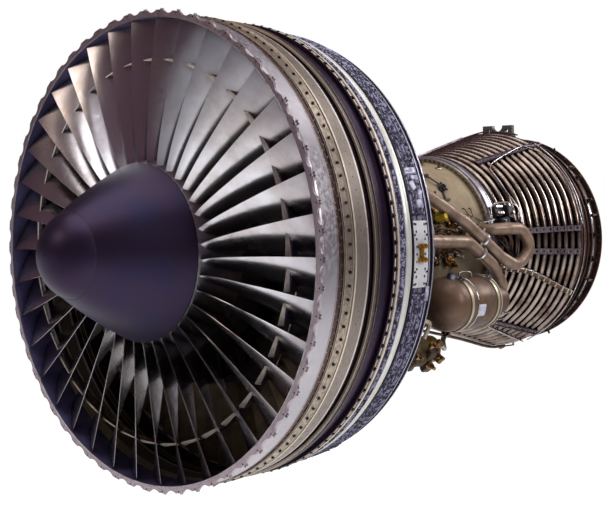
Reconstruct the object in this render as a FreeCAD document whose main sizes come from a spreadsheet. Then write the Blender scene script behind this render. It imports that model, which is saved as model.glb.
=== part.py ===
import FreeCAD, Part
import math
import os
import Sketcher
from FreeCAD import Placement, Rotation, Vector

# A turbofan jet engine, bare of its cowls. +X runs aft along the shaft, +Z is up, and the origin
# is the centre of the front flange's face. All lengths are in millimetres, all angles in degrees.

AXIS = Vector(1, 0, 0)
doc = FreeCAD.newDocument("JetEngine")
sheet = doc.addObject("Spreadsheet::Sheet", "Sizes")
parts = []


class Size:
    """A length, angle or count that carries its value and its expression in the sheet."""

    def __init__(self, value, text):
        self.value = float(value)
        self.text = text

    def __add__(self, other):
        other = as_size(other)
        return Size(self.value + other.value, f"({self.text} + {other.text})")

    def __sub__(self, other):
        other = as_size(other)
        return Size(self.value - other.value, f"({self.text} - {other.text})")

    def __mul__(self, other):
        other = as_size(other)
        return Size(self.value * other.value, f"({self.text} * {other.text})")

    def __truediv__(self, other):
        other = as_size(other)
        return Size(self.value / other.value, f"({self.text} / {other.text})")

    def __neg__(self):
        return Size(-self.value, f"(0 - {self.text})")


def as_size(thing):
    """A plain number joins in a sum of sizes as a constant."""
    if isinstance(thing, Size):
        return thing
    return Size(thing, f"({float(thing)})" if thing < 0 else f"{float(thing)}")


def root_of(amount):
    return Size(math.sqrt(amount.value), f"sqrt({amount.text})")


def sine_of(degrees):
    return Size(math.sin(math.radians(degrees.value)), f"sin({degrees.text})")


def cosine_of(degrees):
    return Size(math.cos(math.radians(degrees.value)), f"cos({degrees.text})")


def size(alias, value):
    """Writes one driving size in the next row of the sheet."""
    row = size.rows = getattr(size, "rows", 0) + 1
    sheet.set(f"A{row}", alias)
    sheet.set(f"B{row}", str(value))
    sheet.setAlias(f"B{row}", alias)
    return Size(value, f"Sizes.{alias}")


# ---- how the pieces are made ----------------------------------------------------------------

def origin_part(body, role):
    return next(item for item in body.Origin.OriginFeatures if item.Role == role)


def new_body(name):
    body = doc.addObject("PartDesign::Body", name)
    body.Label = name
    parts.append(body)
    return body


def bind(sketch, constraint, amount):
    """Adds a constraint and ties its value to the sheet."""
    index = sketch.addConstraint(constraint)
    sketch.setExpression(f"Constraints[{index}]", amount.text)


def pin_point(sketch, edge, end, across, up):
    bind(sketch, Sketcher.Constraint("DistanceX", edge, end, across.value), across)
    bind(sketch, Sketcher.Constraint("DistanceY", edge, end, up.value), up)


def bulged_arc(start, end, radius):
    """The short arc from start to end, bulging to the left of the way if radius is positive."""
    chord = end - start
    left = Vector(-chord.y, chord.x, 0).normalize()
    drop = math.sqrt(max(radius ** 2 - chord.Length ** 2 / 4, 0))
    side = math.copysign(1, radius)
    centre = (start + end) * 0.5 - left * side * drop
    middle = centre + left * side * abs(radius)
    return Part.Arc(start, middle, end)


def draw(body, name, plane, points, lift=None):
    """A closed outline of lines and arcs. A third number in a point makes its edge an arc."""
    sketch = body.newObject("Sketcher::SketchObject", name)
    sketch.AttachmentSupport = [(origin_part(body, plane), "")]
    sketch.MapMode = "FlatFace"
    if lift is not None:
        sketch.setExpression("AttachmentOffset.Base.z", lift.text)
    corners = [[as_size(number) for number in point] for point in points]
    for index, corner in enumerate(corners):
        after = corners[(index + 1) % len(corners)]
        start = Vector(corner[0].value, corner[1].value, 0)
        end = Vector(after[0].value, after[1].value, 0)
        if len(after) == 2:
            sketch.addGeometry(Part.LineSegment(start, end), False)
            pin_point(sketch, index, 1, corner[0], corner[1])
            pin_point(sketch, index, 2, after[0], after[1])
            continue
        sketch.addGeometry(bulged_arc(start, end, after[2].value), False)
        radius = Size(abs(after[2].value), f"abs({after[2].text})")
        clockwise = after[2].value > 0
        pin_point(sketch, index, 2 if clockwise else 1, corner[0], corner[1])
        pin_point(sketch, index, 1 if clockwise else 2, after[0], after[1])
        bind(sketch, Sketcher.Constraint("Radius", index, radius.value), radius)
    return sketch


def turn(body, points, angle=360.0, name="turned"):
    """Turns an outline of (station, radius) points about the shaft line."""
    sketch = draw(body, name + "_outline", "XY_Plane", points)
    feature = body.newObject("PartDesign::Revolution", name)
    feature.Profile = sketch
    feature.ReferenceAxis = (sketch, ["H_Axis"])
    feature.Angle = angle
    body.Tip = feature
    return feature


def turned(name, points):
    body = new_body(name)
    turn(body, points)
    return body


def spread(body, feature, count, name):
    """Repeats a feature round the shaft line."""
    pattern = body.newObject("PartDesign::PolarPattern", name)
    pattern.Originals = [feature]
    pattern.Axis = (origin_part(body, "X_Axis"), [""])
    pattern.Angle = 360
    pattern.setExpression("Occurrences", count.text)
    body.Tip = pattern
    return pattern


def drill(body, station, pitch_radius, hole_radius, depth, count, name="holes", first=0.0):
    """A ring of round cuts along the shaft line, made aft from a station. first is the first
    one's angle from the top."""
    sketch = body.newObject("Sketcher::SketchObject", name + "_sketch")
    sketch.AttachmentSupport = [(origin_part(body, "YZ_Plane"), "")]
    sketch.MapMode = "FlatFace"
    sketch.setExpression("AttachmentOffset.Base.z", as_size(station).text)
    across = pitch_radius * sine_of(as_size(first))
    up = pitch_radius * cosine_of(as_size(first))
    sketch.addGeometry(Part.Circle(Vector(across.value, up.value, 0), Vector(0, 0, 1), hole_radius.value),
                       False)
    pin_point(sketch, 0, 3, across, up)
    bind(sketch, Sketcher.Constraint("Radius", 0, hole_radius.value), hole_radius)
    cut = body.newObject("PartDesign::Pocket", name)
    cut.Profile = sketch
    cut.Reversed = True
    cut.setExpression("Length", depth.text)
    body.Tip = cut
    return spread(body, cut, count, name + "_ring")


def drill_wall(body, station, hole_radius, low, high, count, name="wall_holes"):
    """A ring of round holes straight out through a wall, between two radii."""
    sketch = body.newObject("Sketcher::SketchObject", name + "_sketch")
    sketch.AttachmentSupport = [(origin_part(body, "XY_Plane"), "")]
    sketch.MapMode = "FlatFace"
    sketch.setExpression("AttachmentOffset.Base.z", low.text)
    sketch.addGeometry(Part.Circle(Vector(station.value, 0, 0), Vector(0, 0, 1), hole_radius.value), False)
    sketch.addConstraint(Sketcher.Constraint("PointOnObject", 0, 3, -1))
    bind(sketch, Sketcher.Constraint("DistanceX", 0, 3, station.value), station)
    bind(sketch, Sketcher.Constraint("Radius", 0, hole_radius.value), hole_radius)
    cut = body.newObject("PartDesign::Pocket", name)
    cut.Profile = sketch
    cut.Reversed = True
    cut.setExpression("Length", (high - low).text)
    body.Tip = cut
    return spread(body, cut, count, name + "_ring")


def made(name, shape):
    """A sub-part whose shape comes from its own formula below."""
    feature = doc.addObject("Part::Feature", name)
    feature.Label = name
    feature.Shape = shape
    feature.Placement = Placement()
    parts.append(feature)
    return feature


def about_shaft(shape, angle):
    copy = shape.copy()
    copy.rotate(Vector(0, 0, 0), AXIS, angle)
    return copy


def round_the_shaft(shape, count, first=0.0):
    """Separate copies of one piece, evenly spaced round the shaft line."""
    return [about_shaft(shape, first + index * 360 / count) for index in range(count)]


def ring_of(points, angle=360.0, first=0.0):
    """A turned solid from plain (station, radius) pairs, over part of a turn if asked."""
    corners = [Vector(station, 0, radius) for station, radius in points]
    face = Part.Face(Part.makePolygon(corners + corners[:1]))
    solid = face.revolve(Vector(0, 0, 0), AXIS, angle)
    return about_shaft(solid, first)


def rod(start, end, radius):
    """A round bar from one point to another."""
    return Part.makeCylinder(radius, (end - start).Length, start, end - start)


def hex_bolt(station, radius, height, flats, shank_radius, shank, lean):
    """A six-sided head on its shank, standing on a point over the shaft line.
    lean is the way the head points, and the shank runs the other way."""
    seat = Vector(station, 0, radius)
    corner = flats / math.sqrt(3)
    along = Rotation(Vector(0, 0, 1), lean)
    corners = [seat + along.multVec(Rotation(Vector(0, 0, 1), turned_by).multVec(Vector(corner, 0, 0)))
               for turned_by in range(0, 360, 60)]
    head = Part.Face(Part.makePolygon(corners + corners[:1])).extrude(lean * height)
    return head.fuse(rod(seat - lean * shank, seat, shank_radius)).removeSplitter()


def bent_pipe(points, radius, bend, bore):
    """A round pipe through the points, with tangent arcs at its bends."""
    edges = []
    here = points[0]
    for index in range(1, len(points) - 1):
        back = (points[index - 1] - points[index]).normalize()
        on = (points[index + 1] - points[index]).normalize()
        half_turn = (math.pi - back.getAngle(on)) / 2
        room = 0.49 * min((points[index - 1] - points[index]).Length,
                          (points[index + 1] - points[index]).Length)
        trim = min(bend * math.tan(half_turn), room)
        arc_radius = trim / math.tan(half_turn)
        enter = points[index] + back * trim
        leave = points[index] + on * trim
        inward = (back + on).normalize()
        middle = points[index] + inward * (arc_radius / math.cos(half_turn) - arc_radius)
        edges.append(Part.LineSegment(here, enter).toShape())
        edges.append(Part.Arc(enter, middle, leave).toShape())
        here = leave
    edges.append(Part.LineSegment(here, points[-1]).toShape())
    path = Part.Wire(edges)
    way = points[1] - points[0]
    outside = Part.Wire(Part.makeCircle(radius, points[0], way))
    pipe = path.makePipeShell([outside], True, False)
    if bore:
        inside = Part.Wire(Part.makeCircle(bore, points[0], way))
        pipe = pipe.cut(path.makePipeShell([inside], True, False))
    return pipe


def at(station, radius, angle):
    """A point by station, radius and angle: 0 is the engine's left side, 90 is the top."""
    turned_by = math.radians(angle)
    return Vector(station, -radius * math.cos(turned_by), radius * math.sin(turned_by))


# ---- shared driving sizes --------------------------------------------------------------------

fan_tip = size("fan_tip_radius", 1188.5)
tip_gap = size("fan_tip_gap", 3.5)
seat_gap = size("seat_gap", 0.3)
engine_length = size("engine_length", 3371)
shell_radius = size("diffuser_case_radius", 513)
flow = fan_tip + tip_gap


# ---- front case: the fan's containment ring, with its cowl flange -----------------------------

front_wall = size("front_case_wall", 20)
flange_rise = size("front_flange_rise", 16)
flange_thick = size("front_flange_thickness", 14)
flange_bolts = size("front_flange_bolt_count", 60)
flange_edge = size("front_flange_edge_distance", 8)
scallop_depth = size("front_flange_scallop_depth", 14.5)
flange_lobe = size("front_flange_lobe_width", 50)
flange_hole = size("front_flange_hole_radius", 4.5)
front_end = size("front_case_length", 235)
strip_depth = size("rub_strip_depth", 8)
strip_start = size("rub_strip_start", 6)
strip_end = size("rub_strip_end", 176)
spigot = size("case_spigot_thickness", 8)
spigot_start = size("case_spigot_start", 184)
band_start = size("front_band_start", 173)
band_height = size("front_band_height", 5)
band_bolts = size("case_band_bolt_count", 120)
band_station = size("front_band_bolt_station", 204)
bolt_shank = size("case_bolt_shank_radius", 4)
bolt_hole = bolt_shank + seat_gap
groove_depth = size("front_case_groove_depth", 4)

front_skin = flow + front_wall
flange_radius = front_skin + flange_rise
flange_pitch = flange_radius - flange_edge
front_case = turned("front_case", [
    (0, flow),
    (strip_start, flow),
    (strip_start, flow + strip_depth + seat_gap),
    (strip_end, flow + strip_depth + seat_gap),
    (strip_end, flow),
    (spigot_start - seat_gap, flow),
    (spigot_start - seat_gap, flow + spigot + seat_gap),
    (front_end, flow + spigot + seat_gap),
    (front_end, front_skin + band_height),
    (band_start, front_skin + band_height),
    (band_start, front_skin),
    (band_start - 7, front_skin),
    (band_start - 7, front_skin - groove_depth),
    (band_start - 42, front_skin - groove_depth),
    (band_start - 42, front_skin + 1),
    (band_start - 52, front_skin + 1),
    (flange_thick + 20, front_skin - 2),
    (flange_thick + 12, front_skin - groove_depth),
    (flange_thick, front_skin - groove_depth),
    (flange_thick, flange_radius),
    (0, flange_radius),
])
drill(front_case, -1.0, flange_pitch, flange_hole, flange_thick + 2, flange_bolts)
half_pitch = as_size(180) / flange_bolts
scallop_half = flange_radius * math.pi / flange_bolts - flange_lobe / 2
scallop_radius = (scallop_half * scallop_half / scallop_depth + scallop_depth) / 2
drill(front_case, -1.0, flange_radius - scallop_depth + scallop_radius, scallop_radius,
      flange_thick + 1.5, flange_bolts, "scallops", half_pitch)
drill_wall(front_case, band_station, bolt_hole, flow - 10, flange_radius + 20, band_bolts)


# ---- rub strip: the soft ring that the blade tips run in ---------------------------------------

rub_strip = turned("rub_strip", [
    (strip_start + seat_gap, flow),
    (strip_end - seat_gap, flow),
    (strip_end - seat_gap, flow + strip_depth),
    (strip_start + seat_gap, flow + strip_depth),
])


# ---- front flange nuts: anchor nuts behind the flange, ready for the inlet's bolts ---------------

nut_flats = size("flange_nut_flats", 15)
nut_height = size("flange_nut_height", 9)
lug_rise = size("flange_nut_lug_rise", 17)
lug_slot = size("flange_nut_lug_slot", 7)


def flange_nut():
    """A six-sided nut with a clear bore, and the forked lug that stops it turning."""
    behind = flange_thick.value + seat_gap.value
    nut = hex_bolt(behind, flange_pitch.value, nut_height.value, nut_flats.value,
                   flange_hole.value, 0.5, Vector(1, 0, 0))
    lug = Part.makeBox(nut_height.value * 0.6, nut_flats.value * 1.5, lug_rise.value)
    lug.translate(Vector(behind, -nut_flats.value * 0.75, flange_pitch.value))
    slot = Part.makeBox(60, lug_slot.value, 60)
    slot.translate(Vector(-1, -lug_slot.value / 2, flange_radius.value + 2))
    bore = rod(Vector(-1, 0, flange_pitch.value), Vector(60, 0, flange_pitch.value), flange_hole.value)
    low, high = front_skin.value, flange_radius.value + lug_rise.value
    keep = ring_of([(behind, low), (behind + 40, low), (behind + 40, high), (behind, high)], 10.0, -5.0)
    return nut.fuse(lug).cut([bore, slot]).common(keep).removeSplitter()


made("front_flange_nuts", Part.makeCompound(round_the_shaft(flange_nut(), int(flange_bolts.value))))


# ---- rear fan case: the ribbed barrel behind the fan --------------------------------------------

rear_case_end = size("rear_case_end", 553)
rear_flow = flow - size("rear_case_flow_drop", 8)
rib_radius = flow + size("rear_case_rib_rise", 26)
rib_base = flow + size("rear_case_skin_rise", 16)
trough_radius = flow + size("rear_case_trough_rise", 4)
rib_width = size("rear_case_rib_width", 19)
rear_lap = size("rear_lap_length", 34)
rear_band_station = rear_case_end - 15

rear_fan_case = turned("rear_fan_case", [
    (spigot_start, flow),
    (front_end, flow - 1),
    (rear_case_end, rear_flow),
    (rear_case_end, rib_radius - 4),
    (rear_case_end - rear_lap, rib_radius - 4),
    (rear_case_end - rear_lap, trough_radius),
    (rear_case_end - 112, trough_radius),
    (rear_case_end - 114, rib_radius - 2),
    (rear_case_end - 132, rib_radius - 2),
    (rear_case_end - 132, rib_base - 2),
    (rear_case_end - 149, rib_base - 2),
    (rear_case_end - 149, rib_radius),
    (rear_case_end - 149 - rib_width, rib_radius),
    (rear_case_end - 150 - rib_width, trough_radius + 2),
    (rear_case_end - 202, trough_radius + 2),
    (rear_case_end - 204, rib_base),
    (front_end + 12, rib_base + 2),
    (front_end + 11, front_skin + band_height + 5),
    (front_end + seat_gap, front_skin + band_height + 5),
    (front_end + seat_gap, flow + spigot),
    (spigot_start, flow + spigot),
])
drill_wall(rear_fan_case, band_station, bolt_hole, flow - 10, flange_radius + 20, band_bolts)
drill_wall(rear_fan_case, rear_band_station, bolt_hole, flow - 20, flange_radius + 20, band_bolts,
           "rear_wall_holes")


# ---- exit case: the rear barrel, carried on the struts -------------------------------------------

exit_end = size("exit_case_end", 886)
exit_radius = flow - size("exit_case_end_drop", 16)
exit_flow = flow - size("exit_case_flow_drop", 32)
exit_skin = flow - size("exit_case_skin_drop", 8)
ring_width = size("exit_ring_width", 60)
ring_start = size("exit_ring_start", 633)

exit_case = turned("exit_case", [
    (rear_case_end + seat_gap, rear_flow - 1),
    (exit_end, exit_flow),
    (exit_end, exit_radius),
    (exit_end - 12, exit_radius + 2),
    (exit_end - 14, exit_radius - 4),
    (exit_end - 40, exit_radius - 3),
    (exit_end - 44, exit_radius + 8),
    (exit_end - 52, exit_radius + 8),
    (exit_end - 54, exit_skin - 6),
    (ring_start + ring_width + 18, exit_skin - 1),
    (ring_start + ring_width + 16, exit_skin + 8),
    (ring_start + ring_width + 8, exit_skin + 8),
    (ring_start + ring_width + 6, exit_skin + 2),
    (ring_start + ring_width, exit_skin + 2),
    (ring_start, exit_skin + 4, -(ring_width * 0.62)),
    (ring_start - 8, exit_skin + 4),
    (rear_case_end + 14, exit_skin + 10),
    (rear_case_end + 14, rib_radius - 2),
    (rear_case_end + seat_gap, rib_radius - 2),
])


# ---- case bolts: two rows of radial bolts that close the barrel's lap joints ---------------------

bolt_head = size("case_bolt_head_height", 6)
bolt_flats = size("case_bolt_flats", 13)


def radial_bolts(station, seat_radius):
    bolt = hex_bolt(station, seat_radius + seat_gap.value, bolt_head.value, bolt_flats.value,
                    bolt_shank.value, 18.0, Vector(0, 0, 1))
    return round_the_shaft(bolt, int(band_bolts.value))


made("front_band_bolts", Part.makeCompound(
    radial_bolts(band_station.value, (front_skin + band_height).value)))
made("rear_band_bolts", Part.makeCompound(
    radial_bolts(rear_band_station.value, (rib_radius - 4).value)))


# ---- fan blades: wide-chord, twisted, with a mid-span shroud, a platform and a dovetail root -------

blade_count = size("fan_blade_count", 38)
blade_stack = size("fan_blade_stack_station", 72)
root_radius = size("fan_root_radius", 457)
root_chord = size("fan_root_chord", 205)
tip_chord = size("fan_tip_chord", 248)
root_stagger = size("fan_root_stagger", 8)
tip_stagger = size("fan_tip_stagger", 61)
root_camber = size("fan_root_camber_angle", 52)
tip_camber = size("fan_tip_camber_angle", 8)
root_thick = size("fan_root_thickness", 20)
tip_thick = size("fan_tip_thickness", 6)
edge_thick = size("fan_edge_thickness", 1.6)
platform_front = size("platform_front_station", -40)
platform_rear = size("platform_rear_station", 190)
platform_thick = size("platform_thickness", 8)
platform_rise = size("platform_rise", 73)
platform_gap = size("platform_gap", 0.8)
shroud_share = size("shroud_height_share", 0.7246)
shroud_radius = root_radius + (fan_tip - root_radius) * shroud_share
shroud_width = size("shroud_width", 66)
shroud_thick = size("shroud_thickness", 13)
neck_width = size("dovetail_neck_width", 24)
foot_width = size("dovetail_foot_width", 42)
foot_base = size("dovetail_base_radius", 396)
foot_height = size("dovetail_foot_height", 26)
root_front = size("dovetail_front_station", -28)
root_rear = size("dovetail_rear_station", 176)
disc_rim = size("fan_disc_rim_radius", 440)
SECTIONS = 7
SIDE_POINTS = 9


def blade_section(height, chord, stagger, camber, thickness, stack, edge):
    """One airfoil outline at a height over the shaft line: two curved sides and two thin edges."""
    way = Vector(math.cos(math.radians(stagger)), -math.sin(math.radians(stagger)), 0)
    out = Vector(way.y, -way.x, 0)
    bow = chord * math.tan(math.radians(camber / 4)) / 2
    sides = []
    for side in (1, -1):
        points = []
        for index in range(SIDE_POINTS):
            along = (1 - math.cos(math.pi * index / (SIDE_POINTS - 1))) / 2
            rise = 4 * bow * along * (1 - along)
            half = edge / 2 + (thickness - edge) / 2 * (4 * along * (1 - along)) ** 0.8
            on_chord = Vector(stack, 0, height) + way * ((along - 0.5) * chord)
            points.append(on_chord + out * (rise + side * half))
        sides.append(points)
    upper = Part.BSplineCurve()
    upper.interpolate(sides[0])
    lower = Part.BSplineCurve()
    lower.interpolate(sides[1])
    trailing = Part.LineSegment(sides[0][-1], sides[1][-1])
    leading = Part.LineSegment(sides[1][0], sides[0][0])
    return Part.Wire([upper.toShape(), trailing.toShape(), lower.toShape(), leading.toShape()])


def between(start, end, share):
    return start.value + (end.value - start.value) * share


def fan_airfoil():
    low = root_radius.value - platform_thick.value / 2
    high = fan_tip.value + 14
    wires = []
    for index in range(SECTIONS):
        share = index / (SECTIONS - 1)
        wires.append(blade_section(
            low + (high - low) * share,
            between(root_chord, tip_chord, share),
            between(root_stagger, tip_stagger, share ** 0.75),
            between(root_camber, tip_camber, share ** 0.6),
            between(root_thick, tip_thick, share ** 0.7),
            blade_stack.value,
            edge_thick.value,
        ))
    return Part.makeLoft(wires, True, False)


def platform_outline():
    front, rear = platform_front.value, platform_rear.value
    low, high = root_radius.value, (root_radius + platform_rise).value
    thick = platform_thick.value
    return [(front, low), (rear, high), (rear, high - thick), (front, low - thick)]


def shroud_outline():
    """The mid-span shroud is a flat lens in section, thin at both edges."""
    middle, half = shroud_radius.value, shroud_width.value / 2
    station, thick = blade_stack.value, shroud_thick.value / 2
    above, below = middle + thick, middle - thick
    return [(station - half, middle), (station - half * 0.5, above), (station + half * 0.5, above),
            (station + half, middle), (station + half * 0.5, below), (station - half * 0.5, below)]


def dovetail_outline(clearance):
    """The root's outline seen from the front, grown by a clearance for the disc's slot."""
    neck = neck_width.value / 2 + clearance
    foot = foot_width.value / 2 + clearance
    base = foot_base.value - clearance
    top = foot_base.value + foot_height.value
    shoulder = top - foot_height.value / 2 + clearance
    return neck, foot, base, shoulder, top


def fan_blade():
    front, rear = platform_front.value, platform_rear.value
    low, high = root_radius.value, (root_radius + platform_rise).value
    half_thick = platform_thick.value / 2
    slope = (high - low) / (rear - front)
    reach = 40.0
    ahead = (front - reach, low - half_thick - slope * reach)
    behind = (rear + reach, high - half_thick + slope * reach)
    trim = ring_of([ahead, behind, (rear + reach, fan_tip.value), (front - reach, fan_tip.value)],
                   60.0, -30.0)
    airfoil = fan_airfoil().common(trim)
    pitch = 360 / blade_count.value
    apart = math.degrees(platform_gap.value / root_radius.value)
    platform = ring_of(platform_outline(), pitch - apart, -(pitch - apart) / 2)
    shroud_apart = math.degrees(platform_gap.value / shroud_radius.value)
    shroud = ring_of(shroud_outline(), pitch - shroud_apart, -(pitch - shroud_apart) / 2)
    neck, foot, base, shoulder, top = dovetail_outline(0)
    outline = [(-foot, base), (foot, base), (foot, shoulder), (neck, top), (neck, high), (-neck, high),
               (-neck, top), (-foot, shoulder)]
    corners = [Vector(root_front.value, across, up) for across, up in outline]
    root = Part.Face(Part.makePolygon(corners + corners[:1]))
    root = root.extrude(AXIS * (root_rear.value - root_front.value))
    under = ring_of([(front - reach, base - reach), (rear + reach, base - reach), behind, ahead],
                    60.0, -30.0)
    return airfoil.fuse([platform, shroud, root.common(under)])


made("fan_blades", Part.makeCompound(round_the_shaft(fan_blade(), int(blade_count.value))))


# ---- fan hub: the disc whose rim holds the blade roots ---------------------------------------------

shaft_radius = size("fan_shaft_radius", 62)
shaft_bore = size("fan_shaft_bore_radius", 44)
rim_depth = size("fan_disc_rim_depth", 92)
web_thick = size("fan_disc_web_thickness", 46)
hub_radius = size("fan_disc_hub_radius", 130)
hub_middle = (root_front + root_rear) / 2
cone_radius = size("spinner_seat_radius", 430)

fan_hub = new_body("fan_hub")
turn(fan_hub, [
    (root_front, disc_rim),
    (root_front, disc_rim - rim_depth),
    (hub_middle - web_thick / 2, disc_rim - rim_depth - 34),
    (hub_middle - web_thick / 2, hub_radius + 30),
    (root_front + 30, hub_radius),
    (root_front + 30, shaft_radius + seat_gap),
    (root_rear - 30, shaft_radius + seat_gap),
    (root_rear - 30, hub_radius),
    (hub_middle + web_thick / 2, hub_radius + 30),
    (hub_middle + web_thick / 2, disc_rim - rim_depth - 34),
    (root_rear, disc_rim - rim_depth),
    (root_rear, disc_rim),
])


def dovetail_slots(body):
    """One slot through the rim, repeated for every blade."""
    neck = neck_width / 2 + seat_gap
    foot = foot_width / 2 + seat_gap
    base = foot_base - seat_gap
    top = foot_base + foot_height
    shoulder = top - foot_height / 2 + seat_gap
    above = disc_rim + 10
    outline = [(-foot, base), (foot, base), (foot, shoulder), (neck, top), (neck, above), (-neck, above),
               (-neck, top), (-foot, shoulder)]
    sketch = draw(body, "slot_outline", "YZ_Plane", outline, root_front - 1)
    slot = body.newObject("PartDesign::Pocket", "slot")
    slot.Profile = sketch
    slot.Reversed = True
    slot.setExpression("Length", (root_rear - root_front + 2).text)
    body.Tip = slot
    spread(body, slot, blade_count, "slots")


dovetail_slots(fan_hub)


# ---- spinner: a cone shell bolted to the disc, and its domed cap -----------------------------------

spinner_base = size("spinner_base_station", -44)
spinner_seam = size("spinner_seam_station", -470)
seam_radius = size("spinner_seam_radius", 215.5)
spinner_wall = size("spinner_wall", 5)
nose_tip = size("spinner_tip_station", -610)
cone_swell = size("spinner_cone_swell_radius", 3200)

turned("spinner_cone", [
    (spinner_seam, seam_radius),
    (spinner_base, root_radius, cone_swell),
    (spinner_base, cone_radius - 12),
    (root_front - seat_gap, cone_radius - 12),
    (root_front - seat_gap, cone_radius - 52),
    (root_front - seat_gap - 6, cone_radius - 52),
    (root_front - seat_gap - 6, cone_radius - 22),
    (spinner_base - 14, cone_radius - 8),
    (spinner_seam + 12, seam_radius - spinner_wall + 2, -(cone_swell - spinner_wall)),
    (spinner_seam + 12, seam_radius - 34),
    (spinner_seam + 4, seam_radius - 34),
    (spinner_seam + 4, seam_radius - 8),
    (spinner_seam, seam_radius - 8),
])

cap_edge = spinner_seam - seat_gap
cap_rim = seam_radius - 1
cap_depth = cap_edge - nose_tip
cap_round = (cap_depth * cap_depth + cap_rim * cap_rim) / (cap_depth * 2)
lip_face = spinner_seam - 6
from_centre = nose_tip + cap_round - lip_face
inner_round = cap_round - spinner_wall

turned("spinner_cap", [
    (nose_tip, 0),
    (cap_edge, cap_rim, cap_round),
    (cap_edge, seam_radius - 9),
    (spinner_seam + 4 - seat_gap, seam_radius - 9),
    (spinner_seam + 4 - seat_gap, seam_radius - 34),
    (lip_face, seam_radius - 34),
    (lip_face, root_of(inner_round * inner_round - from_centre * from_centre)),
    (nose_tip + spinner_wall, 0, -inner_round),
])


# ---- fan shaft: the long inner shaft from the fan to the last turbine --------------------------------

shaft_front = size("fan_shaft_front", -40)
shaft_rear = size("fan_shaft_rear", 3152)
bearing_width = size("bearing_width", 34)
fan_bearing_at = size("fan_bearing_station", 350)
roller = size("bearing_roller_radius", 14)
race = size("bearing_race_thickness", 12)
land = size("shaft_land_height", 7)
rear_bearing_at = shaft_rear - 27
collar = size("fan_shaft_collar_radius", 84)

turned("fan_shaft", [
    (shaft_front, shaft_bore),
    (shaft_rear, shaft_bore),
    (shaft_rear, shaft_radius + land),
    (shaft_rear - 54, shaft_radius + land),
    (shaft_rear - 54, shaft_radius),
    (fan_bearing_at + 30, shaft_radius),
    (fan_bearing_at + 30, shaft_radius + land),
    (fan_bearing_at - 30, shaft_radius + land),
    (fan_bearing_at - 30, shaft_radius),
    (root_rear + 22, shaft_radius),
    (root_rear + 22, collar),
    (root_rear - 30 + seat_gap, collar),
    (root_rear - 30 + seat_gap, shaft_radius),
    (shaft_front, shaft_radius),
])


# ---- bearings: a race and its rollers, running on a land of the shaft -----------------------------------

def bearing_seat(land_radius):
    """The bore radius of the housing for a bearing that runs on a land of this radius."""
    return land_radius + (roller + seat_gap) * 2 + race + seat_gap


def bearing(station, land_radius):
    """Separate rollers inside their outer race."""
    half = bearing_width.value / 2
    centre = land_radius.value + seat_gap.value + roller.value
    inside = centre + roller.value + seat_gap.value
    outside = inside + race.value
    outer = ring_of([(station - half, inside), (station + half, inside), (station + half, outside),
                     (station - half, outside)])
    pin = rod(Vector(station - half + 4, 0, centre), Vector(station + half - 4, 0, centre), roller.value)
    around = int(math.floor(math.pi / math.asin((roller.value + 1) / centre)))
    return [outer] + round_the_shaft(pin, around)


made("fan_bearing", Part.makeCompound(bearing(fan_bearing_at.value, shaft_radius + land)))
made("rear_bearing", Part.makeCompound(bearing(rear_bearing_at.value, shaft_radius + land)))


# ---- flow splitter and booster case: the inner duct's lip and wall ------------------------------------

lip_station = size("splitter_lip_station", 330)
lip_radius = size("splitter_lip_radius", 700)
lip_round = size("splitter_lip_round", 4)
splitter_outer = size("splitter_outer_radius", 722)
splitter_end = size("splitter_end_station", 500)
booster_wall = size("booster_case_wall", 8)
booster_flow_front = size("booster_flow_front_radius", 684)
booster_flow_rear = size("booster_flow_rear_radius", 618)
booster_end = size("booster_case_end", 900)

turned("flow_splitter", [
    (lip_station, lip_radius - lip_round),
    (lip_station, lip_radius + lip_round, lip_round * 1.02),
    (lip_station + 70, splitter_outer - 6),
    (splitter_end, splitter_outer),
    (splitter_end, splitter_outer - 8),
    (lip_station + 60, splitter_outer - 20),
    (lip_station + 60, booster_flow_front + booster_wall),
    (lip_station + 60, booster_flow_front),
])

turned("booster_case", [
    (lip_station + 60 + seat_gap, booster_flow_front),
    (booster_end, booster_flow_rear),
    (booster_end, booster_flow_rear + 34),
    (booster_end - 10, booster_flow_rear + 34),
    (booster_end - 10, booster_flow_rear + booster_wall + 1),
    (lip_station + 60 + seat_gap + 10, booster_flow_front + booster_wall),
    (lip_station + 60 + seat_gap + 10, booster_flow_front + 16),
    (lip_station + 60 + seat_gap, booster_flow_front + 16),
])


# ---- rows of small blades: one section, lofted from root to tip -----------------------------------------

def thin_blade(station, low, high, chord, stagger, thickness, turn_angle, arcs=True):
    """A small airfoil between two radii. A minus stagger leans it the other way. Its sides are
    arcs, or on the smallest blades two straight runs each."""
    wires = []
    for height in (low, high):
        way = Vector(math.cos(math.radians(stagger)), -math.sin(math.radians(stagger)), 0)
        out = Vector(way.y, -way.x, 0)
        bow = chord * math.tan(math.radians(turn_angle / 4)) / 2
        start = Vector(station, 0, height) - way * (chord / 2)
        end = Vector(station, 0, height) + way * (chord / 2)
        above = Vector(station, 0, height) + out * (bow + thickness / 2)
        below = Vector(station, 0, height) + out * (bow - thickness / 2)
        if arcs:
            sides = [Part.Arc(start, above, end), Part.Arc(end, below, start)]
            wires.append(Part.Wire([side.toShape() for side in sides]))
        else:
            wires.append(Part.makePolygon([start, above, end, below, start]))
    return Part.makeLoft(wires, True, True)


def blade_row(station, root, tip, chord, stagger, thickness, turn_angle, count, first=0.0, arcs=True):
    """A ring of small airfoils, each trimmed between a root and a tip line.
    root and tip give the radius at a station, as a function."""
    start, end = station - chord, station + chord
    blade = thin_blade(station, root(start) - 30, tip(end) + 30, chord, stagger, thickness, turn_angle,
                       arcs)
    trim = ring_of([(start, root(start)), (end, root(end)), (end, tip(end)), (start, tip(start))],
                   60.0, -30.0)
    return round_the_shaft(blade.common(trim), count, first)


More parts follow.
